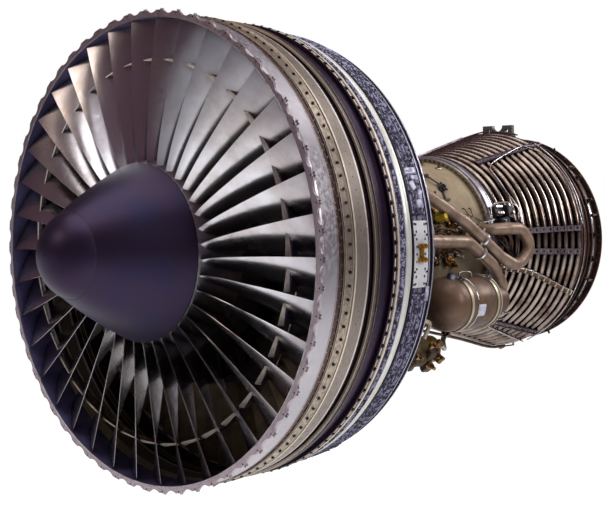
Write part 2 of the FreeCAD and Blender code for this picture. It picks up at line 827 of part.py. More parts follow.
def line(start, end):
    """The radius along a straight wall, as a function of the station."""
    slope = (end[1] - start[1]) / (end[0] - start[0])
    return lambda station: start[1] + slope * (station - start[0])


# ---- booster: the drum behind the fan, its four rotor rows and three vane rows ---------------------------

booster_start = size("booster_drum_start", 196)
booster_drum_end = size("booster_drum_end", 862)
drum_front = size("booster_drum_front_radius", 532)
drum_shoulder = size("booster_drum_shoulder_radius", 566)
drum_rear = size("booster_drum_rear_radius", 508)
drum_wall = size("booster_drum_wall", 10)
drum_shoulder_at = size("booster_drum_shoulder_station", 320)
row_pitch = size("booster_row_pitch", 124)
first_row = size("booster_first_row_station", 440)
row_chord = size("booster_chord", 56)
row_count = size("booster_blades_per_row", 40)
run_gap = size("rotor_running_gap", 4)

turned("booster_drum", [
    (booster_start, drum_front),
    (drum_shoulder_at, drum_shoulder),
    (booster_drum_end, drum_rear),
    (booster_drum_end, drum_rear - drum_wall),
    (drum_shoulder_at, drum_shoulder - drum_wall),
    (booster_start + 10, drum_front - drum_wall - 2),
    (booster_start + 10, disc_rim - 40),
    (root_rear + 10, disc_rim - 60),
    (root_rear + 10, disc_rim - 88),
    (root_rear + seat_gap, disc_rim - 88),
    (root_rear + seat_gap, disc_rim - 50),
    (booster_start, disc_rim - 30),
])

drum_line = line((drum_shoulder_at.value, drum_shoulder.value), (booster_drum_end.value, drum_rear.value))
duct_line = line(((lip_station + 60).value, booster_flow_front.value),
                 (booster_end.value, booster_flow_rear.value))


def booster_rows(first, count, low_gap, high_gap, stagger):
    rows = []
    for index in range(count):
        rows += blade_row(first + index * row_pitch.value,
                          lambda station: drum_line(station) + low_gap,
                          lambda station: duct_line(station) - high_gap,
                          row_chord.value, stagger, 5.0, 24.0, int(row_count.value), index * 3.0)
    return rows


made("booster_blades", Part.makeCompound(
    booster_rows(first_row.value, 4, seat_gap.value, run_gap.value, 38.0)))
made("booster_vanes", Part.makeCompound(
    booster_rows(first_row.value + row_pitch.value / 2, 3, run_gap.value, seat_gap.value, -24.0)))


# ---- fan exit guide vanes: one ring of tall vanes across the duct ----------------------------

guide_count = size("guide_vane_count", 60)
guide_chord = size("guide_vane_chord", 120)
guide_station = size("guide_vane_station", 575)
frame_radius = size("frame_ring_radius", 722)
frame_wall = size("frame_ring_wall", 12)
outer_line = line((front_end.value, flow.value - 1), (rear_case_end.value, rear_flow.value))
exit_line = line((rear_case_end.value, rear_flow.value - 1), (exit_end.value, exit_flow.value))


def guide_vanes():
    return blade_row(guide_station.value,
                     lambda station: frame_radius.value + seat_gap.value,
                     lambda station: min(outer_line(station), exit_line(station)) - seat_gap.value,
                     guide_chord.value, -16.0, 10.0, 30.0, int(guide_count.value))


made("exit_guide_vanes", Part.makeCompound(guide_vanes()))


# ---- intermediate case: the frame whose struts carry the barrel from the core ----------------

strut_count = size("strut_count", 8)
strut_chord = size("strut_chord", 150)
strut_thick = size("strut_thickness", 34)
strut_station = size("strut_station", 770)
frame_end = size("frame_ring_end", 1080)
frame_neck = size("frame_neck_radius", 436)
neck_flow_outer = size("neck_outer_end_radius", 424)
neck_flow_inner = size("neck_inner_end_radius", 292)
neck_hub_start = size("neck_hub_start_radius", 502)
neck_hub_station = size("neck_hub_start_station", 868)
neck_bore = size("neck_flange_bore_radius", 262)
core_strut_chord = size("core_strut_chord", 90)
core_strut_station = size("core_strut_station", 985)
frame_front = splitter_end + seat_gap


def strut():
    """A streamlined strut across the duct, thick in the middle and thin at both edges."""
    wires = []
    for height in (frame_radius.value - frame_wall.value / 2, exit_radius.value + 20):
        half, thick = strut_chord.value / 2, strut_thick.value / 2
        nose = Vector(strut_station.value - half, 0, height)
        tail = Vector(strut_station.value + half, 0, height)
        side = Vector(strut_station.value - half * 0.3, thick, height)
        other = Vector(strut_station.value - half * 0.3, -thick, height)
        one, two = Part.Arc(nose, side, tail), Part.Arc(tail, other, nose)
        wires.append(Part.Wire([one.toShape(), two.toShape()]))
    strut_body = Part.makeLoft(wires, True, True)
    start, end = strut_station.value - strut_chord.value, strut_station.value + strut_chord.value
    foot = frame_radius.value - frame_wall.value / 2
    trim = ring_of([(start, foot), (end, foot), (end, exit_line(end) - seat_gap.value),
                    (start, exit_line(start) - seat_gap.value)], 60.0, -30.0)
    return strut_body.common(trim)


def intermediate_case():
    """The outer ring and rear wall, the two walls of the neck duct, and the struts across both ducts."""
    front, rear, out, wall = frame_front.value, frame_end.value, frame_radius.value, frame_wall.value
    neck, seat = frame_neck.value, booster_end.value + seat_gap.value
    high, low = booster_flow_rear.value, neck_flow_outer.value
    shell = ring_of([(front, out), (rear, out), (rear, neck), (rear - wall, neck),
                     (rear - wall, out - wall), (front, out - wall)])
    seat_wall = ring_of([(seat, high), (rear, low), (rear, low + wall + 4), (seat + 14, high + 14),
                         (seat + 14, out - wall / 2), (seat, out - wall / 2)])
    hub_start, hub_low = neck_hub_start.value, neck_flow_inner.value
    hub_at, bore = neck_hub_station.value, neck_bore.value
    hub = ring_of([(hub_at, hub_start), (rear, hub_low), (rear, bore), (rear - wall, bore),
                   (rear - wall, hub_low - wall), (hub_at, hub_start - wall)])
    station, half = core_strut_station.value, core_strut_chord.value
    inner_wall = line((hub_at, hub_start - wall / 2), (rear, hub_low - wall / 2))
    outer_wall = line((seat, high + wall / 2), (rear, low + wall / 2))
    blade = thin_blade(station, inner_wall(station + half) - 40, outer_wall(station - half) + 40,
                       core_strut_chord.value, 0.0, 18.0, 4.0)
    near, far = station - half, station + half
    trim = ring_of([(near, inner_wall(near)), (far, inner_wall(far)), (far, outer_wall(far)),
                    (near, outer_wall(near))], 60.0, -30.0)
    core_strut = blade.common(trim)
    struts = round_the_shaft(strut(), int(strut_count.value), 22.5)
    core_struts = round_the_shaft(core_strut, int(strut_count.value), 22.5)
    return shell.fuse([seat_wall, hub] + struts + core_struts).removeSplitter()


made("intermediate_case", intermediate_case())


# ---- bearing supports: cones inside the frame that hold the two front bearings ---------------

support_wall = size("bearing_support_wall", 9)
fan_seat = bearing_seat(shaft_radius + land)
journal = size("core_shaft_radius", 96)
core_bore = size("core_shaft_bore_radius", 76)
core_seat = bearing_seat(journal)
core_bearing_at = size("core_front_bearing_station", 1020)
core_rear_bearing_at = size("core_rear_bearing_station", 1975)
support_foot = frame_end - frame_wall - seat_gap

turned("fan_bearing_support", [
    (support_foot, neck_bore + 2),
    (support_foot, neck_bore + 16),
    (support_foot - 14, neck_bore + 16),
    (fan_bearing_at + 26, fan_seat + support_wall),
    (fan_bearing_at - 20, fan_seat + support_wall),
    (fan_bearing_at - 20, fan_seat),
    (fan_bearing_at + 26, fan_seat),
    (support_foot - 12, neck_bore + 2),
])
turned("core_bearing_support", [
    (frame_end + seat_gap, neck_bore - 42),
    (frame_end + seat_gap, neck_flow_inner - 8),
    (frame_end + seat_gap + 9, neck_flow_inner - 8),
    (frame_end + seat_gap + 9, neck_bore - 6),
    (core_bearing_at + 22, core_seat + support_wall),
    (core_bearing_at - 20, core_seat + support_wall),
    (core_bearing_at - 20, core_seat),
    (core_bearing_at + 26, core_seat),
])
made("core_bearings", Part.makeCompound(
    bearing(core_bearing_at.value, journal) + bearing(core_rear_bearing_at.value, journal)))


# ---- compressor: split case, vane rows, and the rotor drum with its eleven discs -------------

comp_start = frame_end + seat_gap
comp_end = size("compressor_end", 1715)
comp_flow_front = size("compressor_flow_front_radius", 424)
comp_flow_rear = size("compressor_flow_rear_radius", 392)
comp_wall = size("compressor_case_wall", 10)
comp_flange = size("compressor_flange_radius", 474)
comp_rows = size("compressor_rotor_rows", 11)
comp_pitch = size("compressor_row_pitch", 55)
comp_first = size("compressor_first_row_station", 1128)
comp_chord = size("compressor_chord", 24)
comp_blades = size("compressor_blades_per_row", 28)
comp_drum_front = size("compressor_drum_front_radius", 296)
comp_drum_rear = size("compressor_drum_rear_radius", 352)
comp_drum_wall = size("compressor_drum_wall", 9)
disc_thick = size("compressor_disc_thickness", 10)
disc_bore = size("compressor_disc_bore_radius", 118)
split_flange = size("case_split_flange_height", 26)
split_thick = size("case_split_flange_thickness", 9)
stiffener = size("compressor_rib_height", 14)
rib_count = 6
rib_step = size("compressor_rib_step", 88)
rib_rise = rib_step * (comp_flow_front - comp_flow_rear) / (comp_end - comp_start)
first_rib = comp_end - 90
first_skin = comp_flow_rear + comp_wall + 4


def half_case(name, lower):
    """One half of the split compressor case, with its bolting flanges along the split."""
    body = new_body(name)
    outline = [
        (comp_start, comp_flow_front),
        (comp_end, comp_flow_rear),
        (comp_end, comp_flow_rear + 44),
        (comp_end - 12, comp_flow_rear + 44),
        (comp_end - 12, comp_flow_rear + comp_wall),
    ]
    for rib in range(rib_count):
        at_rib = first_rib - rib_step * rib
        wall_here = first_skin + rib_rise * rib
        outline += [(at_rib, wall_here), (at_rib, wall_here + stiffener),
                    (at_rib - 10, wall_here + stiffener), (at_rib - 10, wall_here)]
    outline += [
        (comp_start + 12, comp_flow_front + comp_wall),
        (comp_start + 12, comp_flange),
        (comp_start, comp_flange),
    ]
    turn(body, outline, 180.0)
    for side, sign in (("left", -1.0), ("right", 1.0)):
        low_front = comp_flow_front + comp_wall / 2
        low_rear = comp_flow_rear + comp_wall / 2
        points = [(comp_start + 20, low_front * sign), (comp_end - 20, low_rear * sign),
                  (comp_end - 20, (low_rear + split_flange) * sign),
                  (comp_start + 20, (low_front + split_flange) * sign)]
        pad = body.newObject("PartDesign::Pad", side + "_split_flange")
        pad.Profile = draw(body, side + "_flange_outline", "XY_Plane", points)
        pad.setExpression("Length", split_thick.text)
        body.Tip = pad
    if lower:
        body.Placement = Placement(Vector(0, 0, 0), Rotation(AXIS, 180))
    return body


half_case("compressor_case_upper", False)
half_case("compressor_case_lower", True)


def comb_outline(start, end, low_start, low_end, wall, discs, thick, bore):
    """The half section of a drum with discs: a sloping wall, and a web down to the bore at each disc."""
    skin = line((start, low_start), (end, low_end))
    points = [(start, skin(start)), (end, skin(end)), (end, skin(end) - wall)]
    for station in reversed(discs):
        points += [(station + thick / 2, skin(station) - wall), (station + thick / 2, bore + 26),
                   (station + thick, bore + 18), (station + thick, bore), (station - thick, bore),
                   (station - thick, bore + 18), (station - thick / 2, bore + 26),
                   (station - thick / 2, skin(station) - wall)]
    return points + [(start, skin(start) - wall)]


comp_stations = [comp_first.value + row * comp_pitch.value for row in range(int(comp_rows.value))]
comp_drum_line = line((comp_stations[0] - 24, comp_drum_front.value),
                      (comp_stations[-1] + 24, comp_drum_rear.value))
comp_case_line = line((comp_start.value, comp_flow_front.value), (comp_end.value, comp_flow_rear.value))


def compressor_drum():
    start, end = comp_stations[0] - 24, comp_stations[-1] + 24
    drum = ring_of(comb_outline(start, end, comp_drum_front.value, comp_drum_rear.value,
                                comp_drum_wall.value, comp_stations, disc_thick.value, disc_bore.value))
    first, last = comp_stations[0], comp_stations[-1]
    outside, inside = journal.value, core_bore.value
    nose = ring_of([(first, 220), (first, 234), (first - 8, 232), (first - 60, 124), (first - 64, outside),
                    (first - 140, outside), (first - 140, inside), (first - 54, inside),
                    (first - 48, 112)])
    tail = ring_of([(last, 260), (last, 244), (last + 34, 120), (last + 40, inside),
                    (last + 60, inside), (last + 60, outside + 20), (last + 48, 130)])
    return drum.fuse([nose, tail]).removeSplitter()


made("compressor_drum", compressor_drum())


def compressor_rows(stations, low_gap, high_gap, stagger):
    rows = []
    for index, station in enumerate(stations):
        rows += blade_row(station,
                          lambda x: comp_drum_line(x) + low_gap,
                          lambda x: comp_case_line(x) - high_gap,
                          comp_chord.value, stagger, 3.0, 20.0, int(comp_blades.value), index * 4.0,
                          False)
    return rows


made("compressor_blades", Part.makeCompound(
    compressor_rows(comp_stations, seat_gap.value, run_gap.value, 44.0)))
made("compressor_vanes", Part.makeCompound(
    compressor_rows([x + comp_pitch.value / 2 for x in comp_stations[:-1]], run_gap.value, seat_gap.value,
                    -30.0)))


# ---- vane control rings: the bands round the case that turn the first vane rows --------------

control_rings = size("vane_ring_count", 4)
control_radius = size("vane_ring_radius", 470)
control_width = size("vane_ring_width", 16)
control_thick = size("vane_ring_thickness", 8)
lever_count = size("vane_levers_per_ring", 28)
lever_radius = size("vane_stem_radius", 5)


comp_skin_line = line((first_rib.value, first_skin.value),
                      ((first_rib - rib_step * rib_count).value, (first_skin + rib_rise * rib_count).value))


def vane_rings():
    """Each ring rides on short stems that stand on the case, one for each vane."""
    pieces = []
    for index in range(int(control_rings.value)):
        station = (first_rib - rib_step * (rib_count - 0.6 - index)).value
        half = control_width.value / 2
        ring = ring_of([(station - half, control_radius.value), (station + half, control_radius.value),
                        (station + half, control_radius.value + control_thick.value),
                        (station - half, control_radius.value + control_thick.value)])
        foot = comp_skin_line(station) + seat_gap.value
        stem = rod(Vector(station, 0, foot), Vector(station, 0, control_radius.value + 2),
                   lever_radius.value)
        pieces.append(ring.fuse(round_the_shaft(stem, int(lever_count.value), 5.0)).removeSplitter())
    return pieces


made("vane_control_rings", Part.makeCompound(vane_rings()))


# ---- diffuser case: the smooth tan shell round the burner ------------------------------------

shell_front = shell_radius - size("diffuser_shoulder_drop", 8)
shell_shoulder = size("diffuser_shoulder_station", 1850)
shell_end = size("diffuser_case_end", 2306)
shell_wall = size("diffuser_case_wall", 8)
shell_flange = shell_radius + size("diffuser_flange_rise", 25)
slope_start = comp_flow_rear + 18

diffuser_case = turned("diffuser_case", [
    (comp_end + seat_gap, comp_flow_rear + 4),
    (comp_end + 30, comp_flow_rear + 6),
    (shell_shoulder + 8, shell_front - shell_wall),
    (shell_end - 12, shell_radius - shell_wall),
    (shell_end, shell_radius - shell_wall - 16),
    (shell_end, shell_flange),
    (shell_end - 10, shell_flange),
    (shell_end - 10, shell_radius),
    (shell_shoulder + 30, shell_front),
    (shell_shoulder, shell_front - 3, 90),
    (comp_end + 26, slope_start),
    (comp_end + 12, slope_start),
    (comp_end + 12, comp_flow_rear + 44),
    (comp_end + seat_gap, comp_flow_rear + 44),
])


# ---- burner: the ring-shaped liner, and the fuel ring with its nozzles -----------------------

hpt_tip = size("core_turbine_tip_radius", 428)
burner_start = size("burner_start", 1815)
burner_end = size("burner_end", 2062)
burner_outer = size("burner_outer_radius", 460)
burner_inner = size("burner_inner_radius", 336)
burner_wall = size("burner_wall", 4)
nozzle_count = size("fuel_nozzle_count", 20)
nozzle_radius = size("fuel_nozzle_radius", 9)
burner_middle = (burner_outer + burner_inner) / 2

burner_liner = turned("burner_liner", [
    (burner_start, burner_inner + 14),
    (burner_start, burner_outer - 14),
    (burner_start + 20, burner_outer),
    (burner_end - 40, burner_outer),
    (burner_end, hpt_tip + run_gap + burner_wall + 2),
    (burner_end, hpt_tip + run_gap + 2),
    (burner_end - 40, burner_outer - burner_wall),
    (burner_start + 22, burner_outer - burner_wall),
    (burner_start + burner_wall, burner_outer - 16),
    (burner_start + burner_wall, burner_inner + 16),
    (burner_start + 22, burner_inner + burner_wall),
    (burner_end - 40, burner_inner + burner_wall),
    (burner_end, burner_inner + 14 + burner_wall),
    (burner_end, burner_inner + 14),
    (burner_end - 40, burner_inner),
    (burner_start + 20, burner_inner),
])
drill(burner_liner, burner_start - 1, burner_middle, nozzle_radius + 1, burner_wall + 3, nozzle_count)

inner_case_radius = size("burner_inner_case_radius", 316)
diffuser_struts = size("diffuser_strut_count", 12)


def burner_inner_case():
    """The wall under the burner, its struts out to the shell, and the cone to the core's rear bearing."""
    start, end = comp_end.value + 6, burner_end.value - 20
    inside, wall = inner_case_radius.value, shell_wall.value
    seat = core_seat.value
    near, far = core_rear_bearing_at.value - 20, core_rear_bearing_at.value + 22
    shell = ring_of([(start, inside + 20), (start + 60, inside + 10), (end, inside), (end, inside - wall),
                     (start + 70, inside - wall), (start + 60, inside - wall - 12), (near + 6, seat + 14),
                     (far, seat + 12), (far, seat), (near, seat), (near, seat + 10),
                     (start + 48, inside - wall - 14), (start + 48, inside), (start, inside + 12)])
    strut_at = start + 38
    limit = diffuser_wall(strut_at - 17)
    blade = thin_blade(strut_at, inside + 6, limit + 60, 34.0, 0.0, 8.0, 4.0)
    trim = ring_of([(strut_at - 30, inside + 4), (strut_at + 30, inside + 4),
                    (strut_at + 30, diffuser_wall(strut_at + 30) - seat_gap.value),
                    (strut_at - 30, diffuser_wall(strut_at - 30) - seat_gap.value)], 60.0, -30.0)
    return shell.fuse(round_the_shaft(blade.common(trim), int(diffuser_struts.value))).removeSplitter()


diffuser_wall = line(((comp_end + 30).value, (comp_flow_rear + 6).value),
                     ((shell_shoulder + 8).value, (shell_front - shell_wall).value))
made("burner_inner_case", burner_inner_case())

manifold_tube = size("fuel_manifold_tube_radius", 8)
manifold_station = size("fuel_manifold_station", 1790)
manifold_run = (manifold_station - comp_end - 26) / (shell_shoulder - comp_end - 26)
slope_rise = (shell_front - 3 - slope_start) * manifold_run
manifold_radius = slope_start + slope_rise + size("fuel_manifold_stand_off", 40.6)


def fuel_nozzle():
    """A stem from the fuel ring down through the shell, and a tip that enters the burner."""
    foot = Vector(manifold_station.value, 0, burner_middle.value)
    stem = rod(foot, Vector(manifold_station.value, 0, manifold_radius.value), nozzle_radius.value * 0.7)
    tip = rod(foot, foot + AXIS * (burner_start.value + 12 - manifold_station.value), nozzle_radius.value)
    return stem.fuse(tip)


def fuel_manifold():
    centre = Vector(manifold_station.value, 0, 0)
    hoop = Part.makeTorus(manifold_radius.value, manifold_tube.value, centre, AXIS)
    hoop = about_shaft(hoop, 90 / nozzle_count.value)
    return hoop.fuse(round_the_shaft(fuel_nozzle(), int(nozzle_count.value))).removeSplitter()


made("fuel_manifold", fuel_manifold())
drill_wall(diffuser_case, manifold_station, nozzle_radius * 0.7 + seat_gap, burner_outer - 60,
           manifold_radius, nozzle_count)


# ---- core shaft and high-pressure turbine ----------------------------------------------------

hpt_pitch = size("core_turbine_pitch", 104)
hpt_first = size("core_turbine_first_station", 2126)
hpt_hub = size("core_turbine_hub_radius", 342)
hpt_chord = size("core_turbine_chord", 34)
hpt_blades = size("core_turbine_blades_per_row", 40)
hpt_stations = [hpt_first.value, (hpt_first + hpt_pitch).value]

core_start = comp_first + (comp_rows - 1) * comp_pitch + 60 + seat_gap
turned("core_shaft", [
    (core_start, core_bore),
    (hpt_first + hpt_pitch + 40, core_bore),
    (hpt_first + hpt_pitch + 40, journal),
    (core_start + 14, journal),
    (core_start + 14, journal + 20),
    (core_start, journal + 20),
])

made("core_turbine_rotor", ring_of(comb_outline(
    hpt_stations[0] - 22, hpt_stations[1] + 22, hpt_hub.value, hpt_hub.value, 12.0, hpt_stations, 22.0,
    journal.value + seat_gap.value)))


def turbine_rows(stations, root, tip, chord, stagger, thick, count):
    rows = []
    for index, station in enumerate(stations):
        rows += blade_row(station, root, tip, chord, stagger, thick, 60.0, count, index * 2.5)
    return rows


made("core_turbine_blades", Part.makeCompound(turbine_rows(
    hpt_stations, lambda x: hpt_hub.value + seat_gap.value, lambda x: hpt_tip.value,
    hpt_chord.value, 30.0, 7.0, int(hpt_blades.value))))

made("core_turbine_vanes", Part.makeCompound(turbine_rows(
    [station - 48 for station in hpt_stations], lambda x: hpt_hub.value + run_gap.value,
    lambda x: (hpt_tip + run_gap).value - seat_gap.value,
    hpt_chord.value, -34.0, 7.0, int(hpt_blades.value))))

hpt_case_wall = size("core_turbine_case_wall", 7)
turned("core_turbine_case", [
    (burner_end + seat_gap, hpt_tip + run_gap),
    (shell_end - 12, hpt_tip + run_gap),
    (shell_end + 24, hpt_tip + run_gap + 28),
    (shell_end + 24, hpt_tip + run_gap + 36),
    (shell_end + 10, hpt_tip + run_gap + 30),
    (shell_end + 10, shell_flange - 28),
    (shell_end + seat_gap, shell_flange - 28),
    (shell_end + seat_gap, hpt_tip + run_gap + hpt_case_wall + 14),
    (shell_end - 16, hpt_tip + run_gap + hpt_case_wall),
    (burner_end + seat_gap, hpt_tip + run_gap + hpt_case_wall),
])


# ---- low-pressure turbine: case with its ribs, rotor drum with four discs, blades and vanes --

tube_count = size("cooling_tube_count", 12)
tube_radius = size("cooling_tube_radius", 19)
tube_first = size("cooling_tube_first_station", 2420)
tube_pitch = size("cooling_tube_pitch", 57)
crest_front = shell_radius + size("cooling_tube_front_rise", 53)
crest_rear = shell_radius + size("cooling_tube_rear_rise", 222)
crest_front_at = size("cooling_tube_front_crest_station", 2420)
crest_rear_at = size("cooling_tube_rear_crest_station", 3050)
tube_stand = size("cooling_tube_stand_off", 3)
lpt_wall = size("turbine_case_wall", 8)
lpt_start = shell_end + 24
lpt_end = size("turbine_case_end", 3100)
lpt_rear_flange = crest_rear - size("turbine_rear_flange_drop", 23)

crest_line = line((crest_front_at.value, crest_front.value), (crest_rear_at.value, crest_rear.value))
case_drop = tube_radius * 2 + tube_stand
case_front = crest_front - case_drop
case_rear = crest_rear - case_drop
last_rib = tube_first - tube_radius - 3

turned("turbine_case", [
    (shell_end + 11, shell_flange - 26 + 3),
    (shell_end + 24, shell_flange - 26 + 3),
    (crest_front_at, case_front - lpt_wall),
    (crest_rear_at, case_rear - lpt_wall),
    (lpt_end, case_rear - lpt_wall + 4),
    (lpt_end, lpt_rear_flange),
    (lpt_end - 12, lpt_rear_flange),
    (lpt_end - 12, case_rear + 4),
    (crest_rear_at, case_rear),
    (crest_front_at, case_front),
    (last_rib, case_front - 1),
    (last_rib, shell_flange + 15),
    (last_rib - 8, shell_flange + 15),
    (last_rib - 8, case_front - 1),
    (shell_end + 66, case_front - 2),
    (shell_end + 66, shell_flange + 12),
    (shell_end + 56, shell_flange + 12),
    (shell_end + 56, shell_flange - 4),
    (shell_end + 40, shell_flange - 4),
    (shell_end + 40, shell_flange + 6),
    (shell_end + 11, shell_flange),
    (shell_end + 11, shell_flange - 22),
])

lpt_hub_front = size("turbine_drum_front_radius", 392)
lpt_hub_rear = size("turbine_drum_rear_radius", 430)
lpt_chord = size("turbine_chord", 58)
lpt_blades = size("turbine_blades_per_row", 44)
lpt_first = size("turbine_first_row_station", 2462)
lpt_pitch = size("turbine_row_pitch", 160)
low_stations = [lpt_first.value + lpt_pitch.value * row for row in range(4)]
low_hub_line = line((low_stations[0] - 30, lpt_hub_front.value),
                    (low_stations[-1] + 30, lpt_hub_rear.value))
low_case_line = line((crest_front_at.value, (case_front - lpt_wall).value),
                     (crest_rear_at.value, (case_rear - lpt_wall).value))

made("turbine_rotor", ring_of(comb_outline(
    low_stations[0] - 30, low_stations[-1] + 30, lpt_hub_front.value, lpt_hub_rear.value, 10.0,
    low_stations, 14.0,
    shaft_radius.value + seat_gap.value)))
made("turbine_blades", Part.makeCompound(turbine_rows(
    low_stations, lambda x: low_hub_line(x) + seat_gap.value, lambda x: low_case_line(x) - run_gap.value,
    lpt_chord.value, 34.0, 7.0, int(lpt_blades.value))))
made("turbine_vanes", Part.makeCompound(turbine_rows(
    [x + lpt_pitch.value / 2 for x in low_stations[:-1]],
    lambda x: low_hub_line(x) + run_gap.value, lambda x: low_case_line(x) - seat_gap.value,
    lpt_chord.value, -38.0, 7.0, int(lpt_blades.value))))


# ---- cooling tubes: twelve hoops of thin tube that blow air on the turbine case --------------

def cooling_tubes():
    """Each hoop is a doc object tied to the sheet, and the node joins them as separate rings."""
    hoops = []
    for index in range(int(tube_count.value)):
        hoop = doc.addObject("Part::Torus", f"hoop_{index + 1}")
        station = tube_first + tube_pitch * index
        share = (station - crest_front_at) / (crest_rear_at - crest_front_at)
        centre = crest_front + (crest_rear - crest_front) * share - tube_radius
        hoop.Placement = Placement(Vector(0, 0, 0), Rotation(Vector(0, 1, 0), 90))
        hoop.setExpression("Placement.Base.x", station.text)
        hoop.setExpression("Radius1", centre.text)
        hoop.setExpression("Radius2", tube_radius.text)
        hoops.append(hoop)
    joined = doc.addObject("Part::Compound", "cooling_tubes")
    joined.Label = "cooling_tubes"
    joined.Links = hoops
    parts.append(joined)


cooling_tubes()


# ---- cooling tube rails: perforated channels that hold the hoops, with feet on the case ------

rail_width = size("rail_width", 34)
rail_thick = size("rail_thickness", 3)
rail_lip = size("rail_lip_height", 9)
rail_end = size("rail_end_station", 3046)
rail_hole = size("rail_hole_radius", 8)
rail_foot = size("rail_foot_thickness", 6)
RAIL_PLACES = ((60.0, 2500.0), (7.0, 2585.0), (-5.0, 2585.0), (-57.0, 2500.0),
               (108.0, 2400.0), (150.0, 2400.0), (187.0, 2400.0), (238.0, 2400.0))


def rail(angle, start):
    """A flat strip with turned-up lips and round holes, lying on the crests of the hoops."""
    end = rail_end.value
    slope = (crest_line(end) - crest_line(start)) / (end - start)
    lift = tube_radius.value * (math.sqrt(1 + slope ** 2) - 1) + seat_gap.value
    low = crest_line(start) + lift
    high = crest_line(end) + lift
    half, thick, lip = rail_width.value / 2, rail_thick.value, rail_lip.value
    side = Vector(start, -half, low)
    strip = Part.Face(Part.makePolygon([Vector(start, -half, low), Vector(end, -half, high),
                                        Vector(end, -half, high + thick + lip),
                                        Vector(start, -half, low + thick + lip), side]))
    strip = strip.extrude(Vector(0, 2 * half, 0))
    inset = thick - half
    corners = [Vector(start - 1, inset, low + thick), Vector(end + 1, inset, high + thick),
               Vector(end + 1, inset, high + 90), Vector(start - 1, inset, low + 90)]
    room = Part.Face(Part.makePolygon(corners + corners[:1]))
    channel = strip.cut(room.extrude(Vector(0, 2 * (half - thick), 0)))
    middle = tube_first.value + tube_pitch.value / 2
    free = (tube_pitch / 2 - tube_radius).value - 0.5
    holes = []
    feet = []
    for index in range(int(tube_count.value) - 1):
        station = middle + index * tube_pitch.value
        if not start + 15 < station < end - 15:
            continue
        crest = Vector(station, 0, crest_line(station))
        holes.append(rod(crest - Vector(0, 0, 20), crest + Vector(0, 0, 40), rail_hole.value))
        if index % 3 == 2:
            foot = Part.makeBox(rail_foot.value, rail_width.value - 8, 2 * tube_radius.value + 9)
            foot.translate(Vector(station + free - rail_foot.value, 4 - half, 0))
            foot.translate(Vector(0, 0, crest.z - 2 * tube_radius.value - tube_stand.value - 3))
            feet.append(foot)
    trim = ring_of([(start - 50, low_case_top(start - 50)), (end + 50, low_case_top(end + 50)),
                    (end + 50, high + 100), (start - 50, high + 100)], 30.0, -15.0)
    solid = channel.fuse([foot.common(trim) for foot in feet]).cut(Part.makeCompound(holes))
    return about_shaft(solid, 90 - angle)


def low_case_top(station):
    """The radius just clear of the turbine case's skin."""
    return crest_line(station) - case_drop.value + seat_gap.value


made("cooling_rails", Part.makeCompound([rail(angle, start) for angle, start in RAIL_PLACES]))


# ---- exhaust case: the rear frame, with its vanes, hub, bosses and end flange ----------------

exhaust_flow = crest_rear - size("exhaust_flow_drop", 71)
exhaust_wall = size("exhaust_wall", 8)
exhaust_flange = exhaust_flow + size("exhaust_flange_rise", 40)
exhaust_bolts = size("exhaust_flange_bolt_count", 48)
exhaust_pitch = exhaust_flange - size("exhaust_flange_edge_distance", 12)
exhaust_hole = size("exhaust_flange_hole_radius", 5)
exhaust_hub = size("exhaust_hub_radius", 376)
exhaust_vanes = size("exhaust_vane_count", 16)
exhaust_start = lpt_end + seat_gap
end_flange = size("end_flange_thickness", 12)


def exhaust_vane():
    station = (exhaust_start.value + engine_length.value) / 2
    return thin_blade(station, exhaust_hub.value - 6, exhaust_flow.value + 4, 170.0, 0.0, 16.0, 8.0)


def exhaust_case():
    start, end = exhaust_start.value, engine_length.value
    flow_wall, wall, flange = exhaust_flow.value, exhaust_wall.value, exhaust_flange.value
    skin = flow_wall + wall
    outer = ring_of([
        (start, flow_wall), (end, flow_wall), (end, flange), (end - end_flange.value, flange),
        (end - end_flange.value, skin), (end - 70, skin), (end - 70, skin + 22),
        (end - 78, skin + 22), (end - 78, skin),
        (start + 100, skin), (start + 100, skin + 34), (start + 90, skin + 34), (start + 90, skin),
        (start + 56, skin), (start + 56, skin + 40), (start + 46, skin + 40), (start + 46, skin),
        (start + 12, skin), (start + 12, lpt_rear_flange.value), (start, lpt_rear_flange.value),
    ])
    hub, seat = exhaust_hub.value, bearing_seat(shaft_radius + land).value
    inner = ring_of([(start + 20, hub), (end - 10, hub), (end - 10, hub - wall), (start + 64, hub - wall),
                     (start + 52, seat + 12), (start + 52, seat), (start + 4, seat), (start + 4, seat + 12),
                     (start + 40, seat + 12), (start + 20, hub - 20)])
    vanes = round_the_shaft(exhaust_vane(), int(exhaust_vanes.value))
    behind = Vector(end + 1, 0, exhaust_pitch.value)
    hole = rod(behind - AXIS * (end_flange.value + 2), behind, exhaust_hole.value)
    holes = Part.makeCompound(round_the_shaft(hole, int(exhaust_bolts.value)))
    return outer.fuse([inner] + vanes).removeSplitter().cut(holes)


made("exhaust_case", exhaust_case())


# ---- rear cover: the dished plate that closes the exhaust hub --------------------------------

cover_seat = engine_length - 10 + seat_gap
turned("rear_cover", [
    (cover_seat, exhaust_hub - 24),
    (cover_seat, exhaust_hub - 1),
    (cover_seat + 5, exhaust_hub - 1),
    (cover_seat + 5, exhaust_hub - 22),
    (cover_seat - 34, 70),
    (cover_seat - 34, 0),
    (cover_seat - 39, 0),
    (cover_seat - 39, 74),
])


# ---- side bracket: the perforated plate on the exit case's left side -------------------------

plate_start = ring_start + ring_width + 20
plate_end = exit_end - 56
plate_thick = size("side_plate_thickness", 4)
plate_spread = size("side_plate_half_angle", 8)
plate_hole = size("side_plate_hole_radius", 7)
skin_line = line(((ring_start + ring_width + 18).value, (exit_skin - 1).value),
                 ((exit_end - 54).value, (exit_skin - 6).value))


